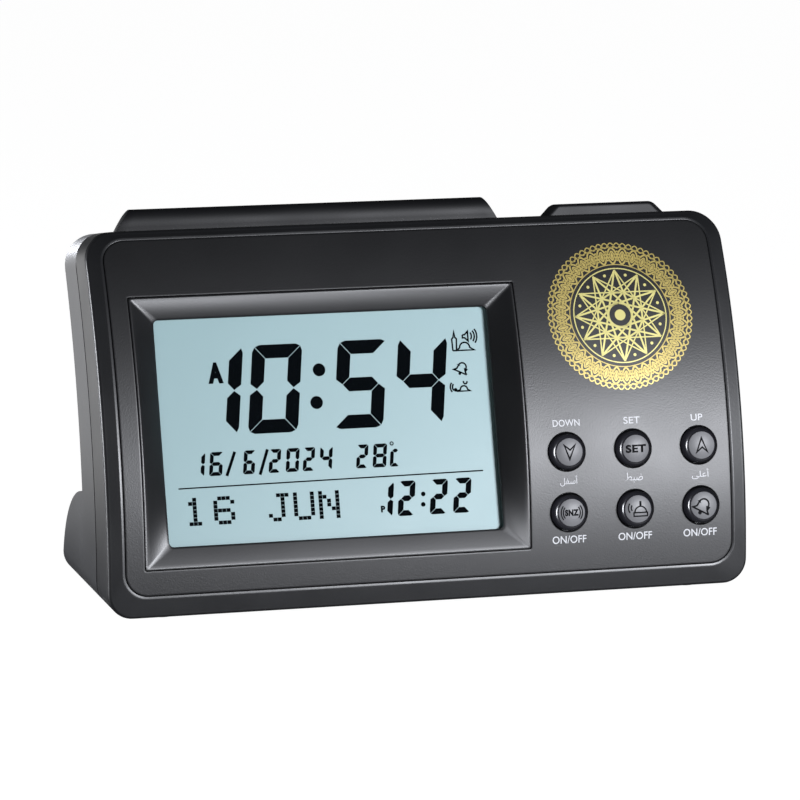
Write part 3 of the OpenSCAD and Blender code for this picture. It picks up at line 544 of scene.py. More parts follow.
# %% Front frame
RIM_FALL, EDGE_R = 0.5, 0.85
SEAT_N, SIDE_N, GROOVE = 2.3, 1.5, 0.7


def rim_ring(share):
    """A loop between the panel's edge and the start of the round edge: x and z are mixed, and the
    depth behind the face grows with the share."""
    p = wrap(panel_loop(-0.75), 0.0) * (1 - share) + ring(EDGE_R, RIM_FALL) * share
    return stack(p[:, 0], arc_y(p[:, 2]) + RIM_FALL * share, p[:, 2])


frame_rings = [wrap(panel_loop(gap), n) for gap, n in
               ((0.0, SEAT_N), (0.0, 0.4), (-0.04, 0.2), (-0.14, 0.11), (-0.2, 0.09),
                (-0.66, 0.01))]
frame_rings += [rim_ring(t) for t in (0.0, 0.06, 0.35, 0.65, 0.9, 1.0)]
for a in np.radians(np.linspace(10, 80, 8)):
    frame_rings.append(ring(EDGE_R * (1 - np.sin(a)), RIM_FALL + EDGE_R * (1 - np.cos(a))))
frame_rings += [ring(0.0, RIM_FALL + EDGE_R), ring(0.06, 1.44), ring(0.2, SIDE_N),
                ring(GROOVE, SIDE_N), ring(GROOVE, SEAT_N)]
finish_piece("front_frame_skin", *loft(frame_rings, closed_rows=True), CASE, "case",
             "case_plastic", ["front_frame"])

# %% [markdown]
# The housing behind the frame is a ring with two slots in its top for the long keys. On the flat
# top a Delaunay triangulation fills the sheet round the slots, outside and inside alike, and
# short walls join the two sheets along each slot.

# %% Middle housing
SNOOZE_X, SNOOZE_HALF, SNOOZE_H, SNOOZE_RAKE = -25.6, 52.0, 5.7, 3.5
LIGHT_X, LIGHT_HALF, LIGHT_H, LIGHT_RAKE, LIGHT_R = 56.5, 17.2, 3.0, 3.0, 2.3
BAR_U, BAR_HALF, BAR_GAP, WALL = 5.5, 2.5, 0.3, 2.0

slots = [round_rect(SNOOZE_HALF + BAR_GAP, BAR_HALF + BAR_GAP, 0.3, 3, SNOOZE_X, BAR_U, 30),
         round_rect(LIGHT_HALF + BAR_GAP, BAR_HALF + BAR_GAP, LIGHT_R + BAR_GAP, 8, LIGHT_X, BAR_U,
                    12)]
housing_rings = [ring(inset, depth) for inset, depth in
                 ((WALL, 2.0), (0.35, 2.0), (0.1, 2.04), (0.0, 2.18), (0.0, 5.0), (0.0, 8.0),
                  (0.0, 11.0), (0.0, 13.3), (0.1, 13.46), (0.35, 13.5), (WALL, 13.5))]
points, quads = loft(housing_rings, closed_rows=True)
ring_size = len(housing_rings[0])
top_first = EDGE_STEPS - 2 + CORNER_STEPS + 1 + SIDE_STEPS - 2 + CORNER_STEPS
top_last = top_first + EDGE_STEPS - 1
OUTER_ROWS, INNER_ROW = (3, 7), len(housing_rings) - 1


def on_flat_top(quads, rows):
    """True for the quads of those rows that lie on the flat of the top."""
    row, col = quads[:, 0] // ring_size, quads[:, 0] % ring_size
    return (row >= rows[0]) & (row < rows[1]) & (col >= top_first) & (col < top_last)


def top_sheet(rows, n):
    """The flat of the top between the first and last of these rings, with the slots cut out."""
    front, back = rows[0][top_first:top_last + 1], rows[-1][top_first:top_last + 1]
    left = [r[top_last] for r in rows[1:-1]]
    right = [r[top_first] for r in rows[1:-1]][::-1]
    rim = np.concatenate([front, np.reshape(left, (-1, 3)), back[::-1], np.reshape(right, (-1, 3))])
    u = (rim[:, 1] - TOP_Y - n * np.sin(TOP_SLOPE)) / np.cos(TOP_SLOPE)
    flat, tris = plate(stack(rim[:, 0], u), slots, (3.0, 2.0))
    return on_top(flat[:, 0], flat[:, 1], n), tris


keep = ~on_flat_top(quads, OUTER_ROWS) & ~on_flat_top(quads, (INNER_ROW, INNER_ROW + 1))
parts = [(points, quads[keep]), top_sheet(housing_rings[3:8], 0.0),
         top_sheet([housing_rings[0], housing_rings[-1]], -WALL)]
for slot_loop in slots:
    parts.append(loft([on_top(slot_loop[:, 0], slot_loop[:, 1], n) for n in (0.0, -WALL)]))
finish_piece("mid_housing_skin", *join(parts), CASE, "case", "case_plastic", ["mid_housing"])

# %% [markdown]
# The panel is one curved sheet of painted plastic. It is cut flat, with its window and six key
# holes, and wrapped onto the face's curve. The rims of the cuts are then carried back as walls,
# each with a fine rounded lip that catches a line of light.

# %% Front panel
KEYS_X, KEYS_S, KEY_DX, KEY_DV = 55.8, 29.7, 18.5, 8.0
HOLE_R, HOLE_LIP = 5.0, 0.28
SCREEN_X, BEZEL_HALF, BEZEL_S0, BEZEL_S1, SCREEN_SIDE = -25.6, 52.2, 12.6, 83.8, 26
PANEL_T, LIP, PLAY, WINDOW_PLAY, KEY_STEPS = 2.0, 0.14, 0.12, 0.15, 56
key_plane = tangent_plane(KEYS_S)
KEYS = {name: (KEYS_X + col * KEY_DX, row * KEY_DV) for name, col, row in
        (("down", -1, 1), ("set", 0, 1), ("up", 1, 1), ("snooze", -1, -1), ("azan", 0, -1),
         ("alarm", 1, -1))}


def hole_on_face(loop, n):
    """A loop square to the key plane, told as x and s on the face at depth n."""
    return stack(loop[:, 0], KEYS_S + FACE_R * np.arcsin(loop[:, 1] / (FACE_R - n)))


def key_circle(x, v, r, n):
    """A circle round a key's middle, laid on the cylinder n behind the face."""
    loop = disc(x, v, r, KEY_STEPS)
    return key_plane(loop[:, 0], loop[:, 1], FACE_R - np.sqrt((FACE_R - n) ** 2 - loop[:, 1] ** 2))


def bezel_loop(inset):
    """The window's edge in x and s, drawn in by inset."""
    middle, half = (BEZEL_S0 + BEZEL_S1) / 2, (BEZEL_S1 - BEZEL_S0) / 2
    return round_rect(BEZEL_HALF - inset, half - inset, 0.5, 3, SCREEN_X, middle, SCREEN_SIDE)


def lipped(loop_at, play):
    """Wall of a cut: a strip that holds the sheet flat, a rounded lip and the side behind it."""
    steps = ((play + LIP + HOLD, 0.0), (play + LIP + 0.05, 0.0), (play + LIP * 0.3, 0.04),
             (play, LIP), (play, PANEL_T))
    return loft([wrap(loop_at(gap), n) for gap, n in steps])


def sheet(play, hole_r, n, step):
    """The panel's sheet at depth n with its window and key holes cut out, in triangles."""
    holes = [hole_on_face(disc(x, v, hole_r, KEY_STEPS), n) for x, v in KEYS.values()]
    flat, tris = plate(panel_loop(PLAY + play), [bezel_loop(-WINDOW_PLAY - play)] + holes, step)
    return wrap(flat, n), tris


parts = [sheet(LIP + HOLD, HOLE_R + HOLE_LIP + HOLD, 0.0, (2.5, 2.5)),
         lipped(panel_loop, PLAY), lipped(lambda gap: bezel_loop(-gap), WINDOW_PLAY)]
for x, v in KEYS.values():
    parts.append(loft([key_circle(x, v, r, n) for r, n in
                       ((HOLE_R + HOLE_LIP + HOLD, 0.0), (HOLE_R + HOLE_LIP + 0.05, 0.0),
                        (HOLE_R + 0.06, 0.2), (HOLE_R, 0.32), (HOLE_R, PANEL_T))]))
parts.append(sheet(0.0, HOLE_R, PANEL_T, (4.0, 4.0)))
finish_piece("front_panel_skin", *join(parts), PANEL, "case", "panel_plastic", ["front_panel"])

# %% [markdown]
# The screen lies flatter than the face's curve, so the room in front of it has four slanting
# facets that meet in mitres. Rings from the window's edge on the curved face to the flat edge at
# the screen make them, and a short black step leads down to the glass.

# %% Screen plane and bezel
SCREEN_TILT = np.radians(18.3)
SCREEN_Y, SCREEN_Z = 12.05, 46.0
WINDOW_HALF_W, WINDOW_HALF_H, STEP = 45.4, 29.6, 0.7


def on_screen(x, v, y):
    """A point over the screen: x and v from its middle, y behind the plane of the bezel's edge."""
    c, s = np.cos(SCREEN_TILT), np.sin(SCREEN_TILT)
    v, y = np.asarray(v, float), np.asarray(y, float)
    return stack(np.asarray(x) + SCREEN_X, SCREEN_Y + v * s + y * c, SCREEN_Z + v * c - y * s)


def screen_loop(grow, y):
    """The window's edge at the screen, grown by grow, y behind the bezel's inner edge."""
    loop = round_rect(WINDOW_HALF_W + grow, WINDOW_HALF_H + grow, 1.2, 3, 0, 0, SCREEN_SIDE)
    return on_screen(loop[:, 0], loop[:, 1], y)


outer, inner = wrap(bezel_loop(0.55), 0.0), screen_loop(0.0, 0.0)
across = inner - outer
sideways = np.cross(np.roll(outer, -1, axis=0) - np.roll(outer, 1, axis=0), across)
sideways /= np.linalg.norm(sideways, axis=1, keepdims=True)
sideways *= -np.sign(sideways[:, 1:2])
crown = 0.04 + 0.16 * (bezel_loop(0.55)[:, 1:] - BEZEL_S0) / (BEZEL_S1 - BEZEL_S0)
bezel_rings = [wrap(bezel_loop(inset), n) for inset, n in
               ((0.0, 1.6), (0.0, 0.25), (0.1, 0.05), (0.28, 0.0), (0.48, 0.0))]
bezel_rings += [outer + across * t + sideways * crown * 4 * t * (1 - t)
                for t in (0.02, 0.15, 0.3, 0.45, 0.6, 0.75, 0.9, 0.98)]
finish_piece("screen_bezel_facets", *loft(bezel_rings + [screen_loop(-0.02, 0.06),
                                                         screen_loop(0.3, 0.5)], closed_rows=True),
             BEZEL, "case", "bezel_plastic", ["screen_bezel"])
step_rings = [screen_loop(-0.04, 0.08), screen_loop(-0.1, 0.25), screen_loop(-0.1, STEP - 0.02),
              screen_loop(0.9, STEP - 0.02), screen_loop(0.9, 0.3)]
finish_piece("screen_bezel_step", *loft(step_rings, closed_rows=True), GAP, "case",
             "bezel_plastic")

# %% [markdown]
# The back wall and the battery door keep the CAD shape, but their edges are too sharp for a
# moulding. A copy of each has its doubles merged and a small bevel laid on every clear edge.

# %% Rear shell and battery door with soft edges


def soften(node, name, width, material, body):
    """Copies a CAD node's mesh, merges its points and flat triangles, and bevels its edges."""
    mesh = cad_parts[node].data.copy()
    mesh.name = name
    bm = bmesh.new()
    bm.from_mesh(mesh)
    bmesh.ops.remove_doubles(bm, verts=bm.verts, dist=2e-6)
    bmesh.ops.dissolve_limit(bm, angle_limit=np.radians(0.6), verts=bm.verts, edges=bm.edges)
    bm.to_mesh(mesh)
    bm.free()
    mesh.shade_smooth()
    mesh.set_sharp_from_angle(angle=SHARP)
    mesh.materials.clear()
    mesh.materials.append(material)
    piece = new_object(name, mesh)
    bevel = piece.modifiers.new("soft_edges", "BEVEL")
    bevel.width, bevel.segments, bevel.limit_method = width * MM, 2, "ANGLE"
    bevel.angle_limit, bevel.harden_normals = np.radians(35), True
    bevel.use_clamp_overlap = True
    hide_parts(node)
    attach(piece, body)
    return piece


rear = soften("rear_shell", "rear_shell_skin", 0.25, CASE, "case")
door = soften("battery_door", "battery_door_skin", 0.2, CASE, "battery_door")
print("rear shell faces:", len(rear.data.polygons), "door faces:", len(door.data.polygons))

# %% [markdown]
# Each round key is a turned cap. Its edge is a black glossy quarter round that mirrors the room as
# a bright crescent, and a grey disc is let into its flat top. Each sign is thin black print that
# lies on the disc.

# %% Round keys
KEY_R, KEY_TOP_R, KEY_PROUD, SUNK = 4.7, 3.75, 2.2, 0.05
POCKET, DISC_R = 0.25, 3.62
COLLAR_R, COLLAR_TOP, COLLAR_END = 6.0, 4.9, 5.8
STEM_R, STEM_END = 1.6, 6.4
edge = KEY_R - KEY_TOP_R
quarter = np.radians(np.linspace(0, 90, 9))
cap_profile = [(0, POCKET), (KEY_TOP_R - 0.1, POCKET), (KEY_TOP_R - 0.1, 0.06),
               (KEY_TOP_R - 0.04, 0)]
cap_profile += [(KEY_TOP_R + edge * np.sin(t), edge - edge * np.cos(t)) for t in quarter]
cap_profile += [(KEY_R, COLLAR_TOP), (COLLAR_R, COLLAR_TOP), (COLLAR_R, COLLAR_END),
                (STEM_R, COLLAR_END), (STEM_R, STEM_END), (0, STEM_END)]
disc_profile = [(0, POCKET + 0.01), (DISC_R, POCKET + 0.01), (DISC_R, SUNK + 0.03),
                (DISC_R - 0.05, SUNK), (0, SUNK)]


def key_place(name):
    """The place on a key's disc."""
    return moved(lambda x, v, high: key_plane(x, v, SUNK - KEY_PROUD - high), *KEYS[name])


def key_turned(name, profile):
    """A turned piece about a key's axis, with the profile's depths told from the key's top."""
    (x, v), p = KEYS[name], turn(profile, 72)
    return loft(list(key_plane(p[..., 0] + x, p[..., 1] + v, p[..., 2] - KEY_PROUD)))


def wave(x, v, r, side):
    """An arc like a sound wave, opening to the given side."""
    middle = 0 if side > 0 else 180
    return arc_points(x, v, r, middle - 38, middle + 38, 9)


def letters(text, height, width, place, bold=0.008):
    """Words from the built-in font, filled flat, scaled to height and width, and laid down."""
    curve = bpy.data.curves.new("word", "FONT")
    curve.body, curve.size, curve.fill_mode, curve.resolution_u = text, 1.0, "FRONT", 6
    curve.offset, curve.space_character = bold, 1.0 + 2 * bold
    word = new_object("word", curve)
    bpy.context.view_layer.update()
    graph = bpy.context.evaluated_depsgraph_get()
    mesh = bpy.data.meshes.new_from_object(word.evaluated_get(graph))
    count = len(mesh.vertices)
    flat = np.empty(count * 3)
    mesh.vertices.foreach_get("co", flat)
    flat = flat.reshape(-1, 3)[:, :2]
    tris = [tuple(p.vertices) for p in mesh.polygons]
    bpy.data.objects.remove(word)
    bpy.data.meshes.remove(mesh)
    lo, hi = flat.min(axis=0), flat.max(axis=0)
    flat = (flat - (lo + hi) / 2) * (np.array([width, height]) / (hi - lo))
    top, bottom = (place(flat[:, 0], flat[:, 1], high) for high in (INK, ROOT))
    faces = tris + [tuple(c + count for c in t[::-1]) for t in tris]
    pairs = dict.fromkeys((a, b) for t in tris for a, b in zip(t, t[1:] + t[:1]))
    faces += [(b, a, a + count, b + count) for a, b in pairs if (b, a) not in pairs]
    return np.concatenate([top, bottom]), faces


def bell(x, v, r, lean=-25):
    """A bell's outline and its clapper, leaned by some degrees: dome, flared skirt, rim."""
    dome = arc_points(0, 0, 0.55, 0, 180, 12)
    skirt = np.array([(0.95, -0.75), (0.62, -0.45), (0.55, 0.0)])
    shape = np.concatenate([skirt, dome, skirt[::-1] * [-1, 1], skirt[:1]])
    a = np.radians(lean)
    spin = np.array([[np.cos(a), np.sin(a)], [-np.sin(a), np.cos(a)]])
    return shape @ spin * r + [x, v], disc(0, -0.95, 0.2, 12) @ spin * r + [x, v]


def upright(x, half, v0, v1):
    """A rectangle about x from v0 to v1."""
    return np.array([(x - half, v0), (x + half, v0), (x + half, v1), (x - half, v1)])


def dome_house(x, v, r):
    """A small domed building: base, dome and tip."""
    return [upright(x, r, v - r, v - r * 0.5), arc_points(x, v - r * 0.5, r * 0.86, 0, 180, 15),
            upright(x, 0.06 * r, v + r * 0.55, v + r)]


arrow = np.array([(0.0, 1.9), (1.6, -1.8), (0.2, -0.5), (-1.4, -1.8)])
at = {name: key_place(name) for name in KEYS}
body_line, clapper = bell(0, 0.3, 2.6, -28)
signs = {
    "down": [ribbon(arrow * [1, -1], 0.44, at["down"], closed=True)],
    "set": [letters("SET", 2.15, 5.7, at["set"], bold=0.045)],
    "up": [ribbon(arrow, 0.44, at["up"], closed=True)],
    "snooze": [letters("SNZ", 1.75, 3.8, at["snooze"], bold=0.06)]
              + [ribbon(wave(0, 0, r, side), 0.32, at["snooze"])
                 for side in (-1, 1) for r in (2.35, 2.95)],
    "azan": [ribbon(p, 0.36, at["azan"], closed=True) for p in dome_house(0.7, 0.0, 1.9)]
            + [ribbon(wave(-0.7, 0.3, r, -1), 0.36, at["azan"]) for r in (1.2, 2.0)],
    "alarm": [ribbon(body_line, 0.44, at["alarm"]), prisms([clapper], at["alarm"])],
}
for name, parts in signs.items():
    node = name + "_key"
    finish_piece(node + "_cap", *key_turned(name, cap_profile), KEY_SIDE, node, "key_plastic",
                 [node])
    finish_piece(node + "_disc", *key_turned(name, disc_profile), KEY_FACE, node, "key_plastic")
    finish_piece(node + "_sign", *join(parts), ENGRAVED, node, "key_plastic", smooth=False)
print("round keys:", len(KEYS))

# %% [markdown]
# The snooze bar is a domed stick with raked ends. Its section is a superellipse: half width times
# the power 0.75 of the cosine, height times the power 0.75 of the sine. Slices of this section are
# strung along x, and towards each end they shrink along the rake.

# %% Snooze bar and light key
FLANGE_N, FLANGE_T, POST_HALF = -2.1, 1.0, 2
SNOOZE_POST_N, LIGHT_POST_N = -4.3, -4.7
POWER, WAIST = 0.75, 0.16


def bar_section(half):
    """Loop of (u, n): straight sides up from the flange, then the superellipse over them. The
    sides are drawn in towards the foot by the waist."""
    t = np.linspace(0, np.pi, 29)
    u = -np.sign(np.cos(t)) * np.abs(np.cos(t)) ** POWER * half
    n = SNOOZE_H * np.sin(t) ** POWER
    u *= 1 - WAIST * np.clip(1 - n / (0.75 * SNOOZE_H), 0, 1) ** 2
    foot = [((1 - WAIST) * half, FLANGE_N), ((WAIST - 1) * half, FLANGE_N)]
    return np.concatenate([foot, stack(u, n)])


def snooze_slices():
    """Sections along the bar. At an end each point stops where the rake meets its own height."""
    share = np.concatenate([[-1.0, -0.9995], np.linspace(-0.996, 0.996, 41), [0.9995, 1.0]])
    slices = []
    for k in share:
        pinch = {1.0: 0.55, 0.9995: 0.92}.get(abs(round(k, 4)), 1.0)
        loop = bar_section(BAR_HALF * (1 - 0.12 * (1 - pinch)))
        n = np.clip(loop[:, 1], 0, None) * (1 - 0.06 * (1 - pinch))
        reach = SNOOZE_HALF - SNOOZE_RAKE * n / SNOOZE_H - 0.35 * (n / SNOOZE_H) ** 6
        slices.append(on_top(SNOOZE_X + k * reach, loop[:, 0] + BAR_U,
                             np.where(loop[:, 1] > 0, n, loop[:, 1])))
    return slices


def slab_box(x0, half_x, u0, u1, n0, n1):
    """A plain block under the top, for flanges and posts that never show."""
    x, u, n = np.meshgrid([x0 - half_x, x0 + half_x], [u0, u1], [n0, n1], indexing="ij")
    quads = [(0, 1, 3, 2), (4, 6, 7, 5), (0, 4, 5, 1), (2, 3, 7, 6), (0, 2, 6, 4), (1, 5, 7, 3)]
    return on_top(x.ravel(), u.ravel(), n.ravel()), quads


def footing(x0, half_x, posts, post_n):
    """The flange that keeps a key in, and the posts that press its switches."""
    top = FLANGE_N - FLANGE_T
    return [slab_box(x0, half_x + 1, BAR_U - BAR_HALF, BAR_U + BAR_HALF + 1, top, FLANGE_N)] + [
        slab_box(x, POST_HALF, BAR_U - POST_HALF, BAR_U + POST_HALF, post_n, top) for x in posts]


def capped(slices):
    """Slices joined to a tube, with one face closing each end."""
    points, quads = loft(slices)
    n, last = len(slices[0]), (len(slices) - 1) * len(slices[0])
    return points, [*map(tuple, quads), tuple(range(n))[::-1], tuple(range(last, last + n))]


bar_parts = [capped(snooze_slices())] + footing(
    SNOOZE_X, SNOOZE_HALF, (SNOOZE_X - 34, SNOOZE_X + 34), SNOOZE_POST_N)
finish_piece("snooze_bar_skin", *join(bar_parts), TOP_KEY, "snooze_bar", "case_plastic",
             ["snooze_bar"])


def light_ring(n, draw):
    """Plan outline of the light key at height n, drawn in by draw all round."""
    half = LIGHT_HALF - LIGHT_RAKE * max(n, 0) / LIGHT_H - draw
    loop = round_rect(half, BAR_HALF - draw, LIGHT_R - draw * 0.5, 10, LIGHT_X, BAR_U, 14)
    return on_top(loop[:, 0], loop[:, 1], n)


light_rings = [light_ring(n, 0.0) for n in (FLANGE_N, 0.0, 1.0, 1.8)]
light_rings += [light_ring(LIGHT_H - 0.9 + 0.9 * np.sin(t), 0.9 * (1 - np.cos(t)))
                for t in np.radians(np.linspace(0, 90, 8))]
light_parts = [capped(light_rings)] + footing(LIGHT_X, LIGHT_HALF, (LIGHT_X,), LIGHT_POST_N)
finish_piece("light_key_skin", *join(light_parts), TOP_KEY, "light_key", "case_plastic",
             ["light_key"])

# %% [markdown]
# Liquid crystal digits are made of seven segments. Each is a hexagon with mitred ends, and the
# whole digit leans: x grows with height by the lean. The outer corners of the big digits are cut
# round. The segments lie on the front of the glass, under the clear window.

# %% Display segments
GLASS_Y, LEAN = 1.9, 0.128
SEVEN = {"0": "abcdef", "1": "bc", "2": "abged", "4": "fgbc", "5": "afgcd", "6": "afgecd",
         "8": "abcdefg", "c": "ged"}


def on_glass(x, v, high):
    """Print on the display: high counts towards the viewer."""
    return on_screen(x, v, GLASS_Y - np.asarray(high))


def segment(which, w, h, t, gap):
    """One segment of a digit of width w, height h and stroke t, with its lower left at 0."""
    g, m, r = gap / 2, h / 2, 0.5 * t
    k = 0.29 * r
    shapes = {
        "a": [(g + r, h), (w - g - r, h), (w - g - k, h - k), (w - t - g, h - t), (t + g, h - t),
              (g + k, h - k)],
        "f": [(0, h - g - r), (k, h - g - k), (t, h - t - g), (t, m + t / 2 + g), (t / 2, m + g),
              (0, m + t * 0.4)],
        "g": [(t / 2 + g, m), (t + g, m + t / 2), (w - t - g, m + t / 2), (w - t / 2 - g, m),
              (w - t - g, m - t / 2), (t + g, m - t / 2)],
    }
    shapes["b"] = [(w - x, v) for x, v in shapes["f"]]
    for low, high in (("d", "a"), ("e", "f"), ("c", "b")):
        shapes[low] = [(x, h - v) for x, v in shapes[high]]
    return np.array(shapes[which], float)


def digit(sign, x0, v0, w, h, t, gap):
    """The segments of one sign, moved into place and leaned."""
    out = []
    for which in SEVEN[sign]:
        p = segment(which, w, h, t, gap)
        out.append(stack(p[:, 0] + p[:, 1] * LEAN + x0, p[:, 1] + v0))
    return out


BIG = dict(w=13.5, h=23.2, t=3.6, gap=0.24)
DATE = dict(h=6.2, t=1.0, gap=0.12)
SMALL = dict(h=9.2, t=1.5, gap=0.16)
ink = digit("1", -37.75, -1.1, **BIG) + digit("0", -21.75, -1.1, **BIG)
ink += digit("5", 1.45, -0.95, **BIG) + digit("4", 18.0, -0.85, **BIG)
ink += [disc(-1.29, 14.88, 1.7, 28), disc(-2.62, 6.32, 1.7, 28)]
for sign, x0, w in (("1", -37.3, 3.0), ("6", -33.0, 3.5), ("6", -23.9, 3.1), ("2", -17.0, 3.1),
                    ("0", -12.4, 3.5), ("2", -7.8, 3.1), ("4", -3.3, 3.4), ("2", 6.7, 3.1),
                    ("8", 11.2, 3.7)):
    ink += digit(sign, x0, -11.5, w, **DATE)
ink += digit("c", 15.9, -11.5, 2.6, 8.4, 0.95, 0.12)
for sign, x0, w in (("1", 11.2, 4.4), ("2", 17.0, 4.5), ("2", 25.8, 4.6), ("2", 32.2, 4.7)):
    ink += digit(sign, x0, -24.6, w, **SMALL)
ink += [disc(24.47, -19.1, 0.62, 16), disc(24.25, -21.84, 0.62, 16)]
pieces = [prisms(ink, on_glass), letters("A", 5.55, 4.1, moved(on_glass, -29.25, 15.3), 0.08)]
for line, width in (([(-25.66, -5.47), (-28.22, -11.67)], 0.8),
                    ([(-16.84, -5.27), (-19.31, -11.81)], 0.8),
                    ([(-41.38, -14.40), (41.41, -13.76)], 0.36)):
    pieces.append(ribbon(line, width, on_glass))
pieces.append(ribbon(disc(16.9, -5.4, 0.42, 14), 0.28, on_glass, closed=True))
finish_piece("display_segments", *join(pieces), SEGMENT, "case", "display_glass", smooth=False)

# %% [markdown]
# The lower row is a dot matrix: five columns by seven rows of near-square dots, and each letter is
# a pattern of them. The small signs at the right edge are thin outlines.

# %% Dot letters and small signs
DOTS = {
    "1": ["010", "110", "010", "010", "010", "010", "111"],
    "6": ["01110", "10001", "10000", "11110", "10001", "10001", "01110"],
    "J": ["00111", "00010", "00010", "00010", "00010", "10010", "01100"],
    "U": ["10001"] * 6 + ["01110"],
    "N": ["10001", "11001", "10101", "10101", "10011", "10001", "10001"],
}
DOT_W, DOT_H, PITCH_X, PITCH_V, DOT_TOP = 1.06, 0.98, 1.14, 1.05, -16.9
squares = []
for letter, x0 in (("1", -39.1), ("6", -32.4), ("J", -17.75), ("U", -10.9), ("N", -4.1)):
    for row, line in enumerate(DOTS[letter]):
        for col, lit in enumerate(line):
            if lit == "1":
                x, v = x0 + col * PITCH_X, DOT_TOP - row * PITCH_V
                squares.append([(x, v - DOT_H), (x + DOT_W, v - DOT_H), (x + DOT_W, v), (x, v)])
pieces = [prisms(squares, on_glass), letters("P", 1.75, 1.2, moved(on_glass, 13.2, -22.5), 0.06)]

THIN = 0.42
tower = [(35.7, 18.3), (36.7, 18.3), (36.9, 21.4), (36.5, 21.8), (36.3, 23.4), (36.0, 21.8),
         (35.6, 21.4), (35.7, 18.3)]
hall = np.concatenate([[(36.7, 18.3)], arc_points(39.0, 19.0, 1.4, 180, 0, 10), [(41.6, 18.3)],
                       [(36.7, 18.3)]])
horn = [(38.6, 22.4), (39.2, 22.4), (40.1, 23.3), (40.1, 20.7), (39.2, 21.6), (38.6, 21.6),
        (38.6, 22.4)]
small = np.concatenate([[(35.9, 7.5)], arc_points(37.9, 7.9, 1.0, 180, 0, 8), [(39.6, 7.5)],
                        [(35.9, 7.5)]])
body_line, clapper = bell(37.9, 13.9, 2.0)
waves = [wave(39.6, 22.0, r, 1) for r in (1.5, 2.3, 3.0)]
waves += [wave(36.2, 8.6, r, -1) for r in (1.4, 2.0)]
for path in (tower, hall, horn, small, body_line, arc_points(38.4, 9.9, 0.5, 150, 380, 10), *waves):
    pieces.append(ribbon(path, THIN, on_glass))
pieces.append(prisms([clapper, disc(35.6, 7.9, 0.5, 14)], on_glass))
finish_piece("display_dots", *join(pieces), SEGMENT, "case", "display_glass", smooth=False)
print("dots in the letters:", len(squares))

# %% [markdown]
# Words are printed in white over and under the keys. Each glyph is placed in a small flat plane
# and then wrapped onto the face, so the print follows the curve.

# %% Printed words


def print_at(x0, s0):
    """The place round a point of the face."""
    return moved(lambda x, s, high: on_face(x, s, -high), x0, s0)


words = [letters(word, height, width, print_at(x, s)) for word, height, width, x, s in
         (("DOWN", 1.8, 7.5, 37.6, 45.3), ("SET", 1.8, 4.6, 55.9, 45.2),
          ("UP", 1.8, 3.3, 74.2, 45.1), ("ON/OFF", 2.0, 9.4, 37.3, 14.5),
          ("ON/OFF", 2.0, 9.4, 55.7, 14.5), ("ON/OFF", 2.0, 9.4, 74.0, 14.5))]
finish_piece("printed_words", *join(words), LABEL, "case", "panel_plastic", smooth=False)

# Under the keys the same three words stand in Arabic. The letters are given in their joined
# forms and from left to right, because the text object doesn't join or turn them itself.
SCRIPT = {37.5: "\uFEDE\uFED4\uFEB3\uFE83", 55.8: "\uFEC2\uFE92\uFEBF",
          74.4: "\uFEF0\uFEE0\uFECB\uFE83"}
script = [letters(word, 2.7, 4.8, print_at(x, 30.0), bold=0.0) for x, word in SCRIPT.items()]
finish_piece("printed_script", *join(script), LABEL, "case", "panel_plastic", smooth=False)

# %% [markdown]
# The ornament is a rosette in two golds: a broad outer band of interlaced waves and small leaves,
# and a paler star inside. The waves are circles whose radius swings with the angle, the leaf is
# turned into 36 places, and the star is one polygon through twelve points with four triangles.

# %% Gold rosette
rose = print_at(55.5, 73.5)
STAR_R = 12.5


def circle_band(r, width):
    """A thin ring of print."""
    return ribbon(disc(0, 0, r, 180), width, rose, closed=True)


def spun(path, turns, start=0.0):
    """A path turned about the middle into so many places."""
    out = []
    for k in range(turns):
        a = 2 * np.pi * k / turns + start
        c, s = np.cos(a), np.sin(a)
        out.append(np.asarray(path) @ np.array([[c, s], [-s, c]]))
    return out


def wavy(r, swing, waves, phase, width):
    """A closed curve of radius r + swing * cos(waves * angle + phase)."""
    reach = r + swing * np.cos(waves * around + phase)
    return ribbon(stack(reach * np.cos(around), reach * np.sin(around)), width, rose, closed=True)


def sticks(corners, width):
    """Straight lines from corner to corner, each its own bar, in short steps to follow the face."""
    return [ribbon(np.linspace(a, b, 25), width, rose)
            for a, b in zip(corners, np.roll(corners, -1, axis=0))]


around = np.linspace(0, 2 * np.pi, 721)[:-1]
band = [circle_band(14.0, 0.25), circle_band(18.9, 0.22)]
for phase in (0.0, np.pi):
    band += [wavy(19.4, 0.72, 36, phase, 0.3), wavy(16.5, 2.2, 18, phase, 0.46),
             wavy(16.5, 1.3, 36, phase, 0.32)]
leaf = np.array([(15.3, 0.0), (16.5, 0.42), (17.7, 0.0), (16.5, -0.42)])
band.append(prisms(spun(leaf, 36), rose))
finish_piece("rosette_band", *join(band), GOLD, "case", "panel_plastic", smooth=False)

star = [circle_band(12.9, 0.3), circle_band(3.2, 0.4), circle_band(6.1, 0.3)]
turns = 2 * np.pi * np.arange(12) / 12
star += sticks(STAR_R * stack(np.sin(5 * turns), np.cos(5 * turns)), 0.5)
triangle = STAR_R * stack(np.sin(4 * turns[:3]), np.cos(4 * turns[:3]))
for path in spun(triangle, 12)[:4]:
    star += sticks(path, 0.34)
star.append(prisms(spun(disc(11.3, 0, 0.42, 12), 12, np.pi / 12) + [disc(0, 0, 1.5, 24)], rose))
finish_piece("rosette_star", *join(star), PALE_GOLD, "case", "panel_plastic", smooth=False)

# %% [markdown]
# The highlight on the panel says what lit it: one small softbox in front, about 25 degrees to the
# right and 12 degrees up, is mirrored by the leaning face, and the plastic's roughness spreads it
# into a long gradient up and down. The rest of the room is dark, the table is white.
# Two cards light only the bezel and the round keys, a strip behind lights the left edge, and a
# soft fill lights only the back.

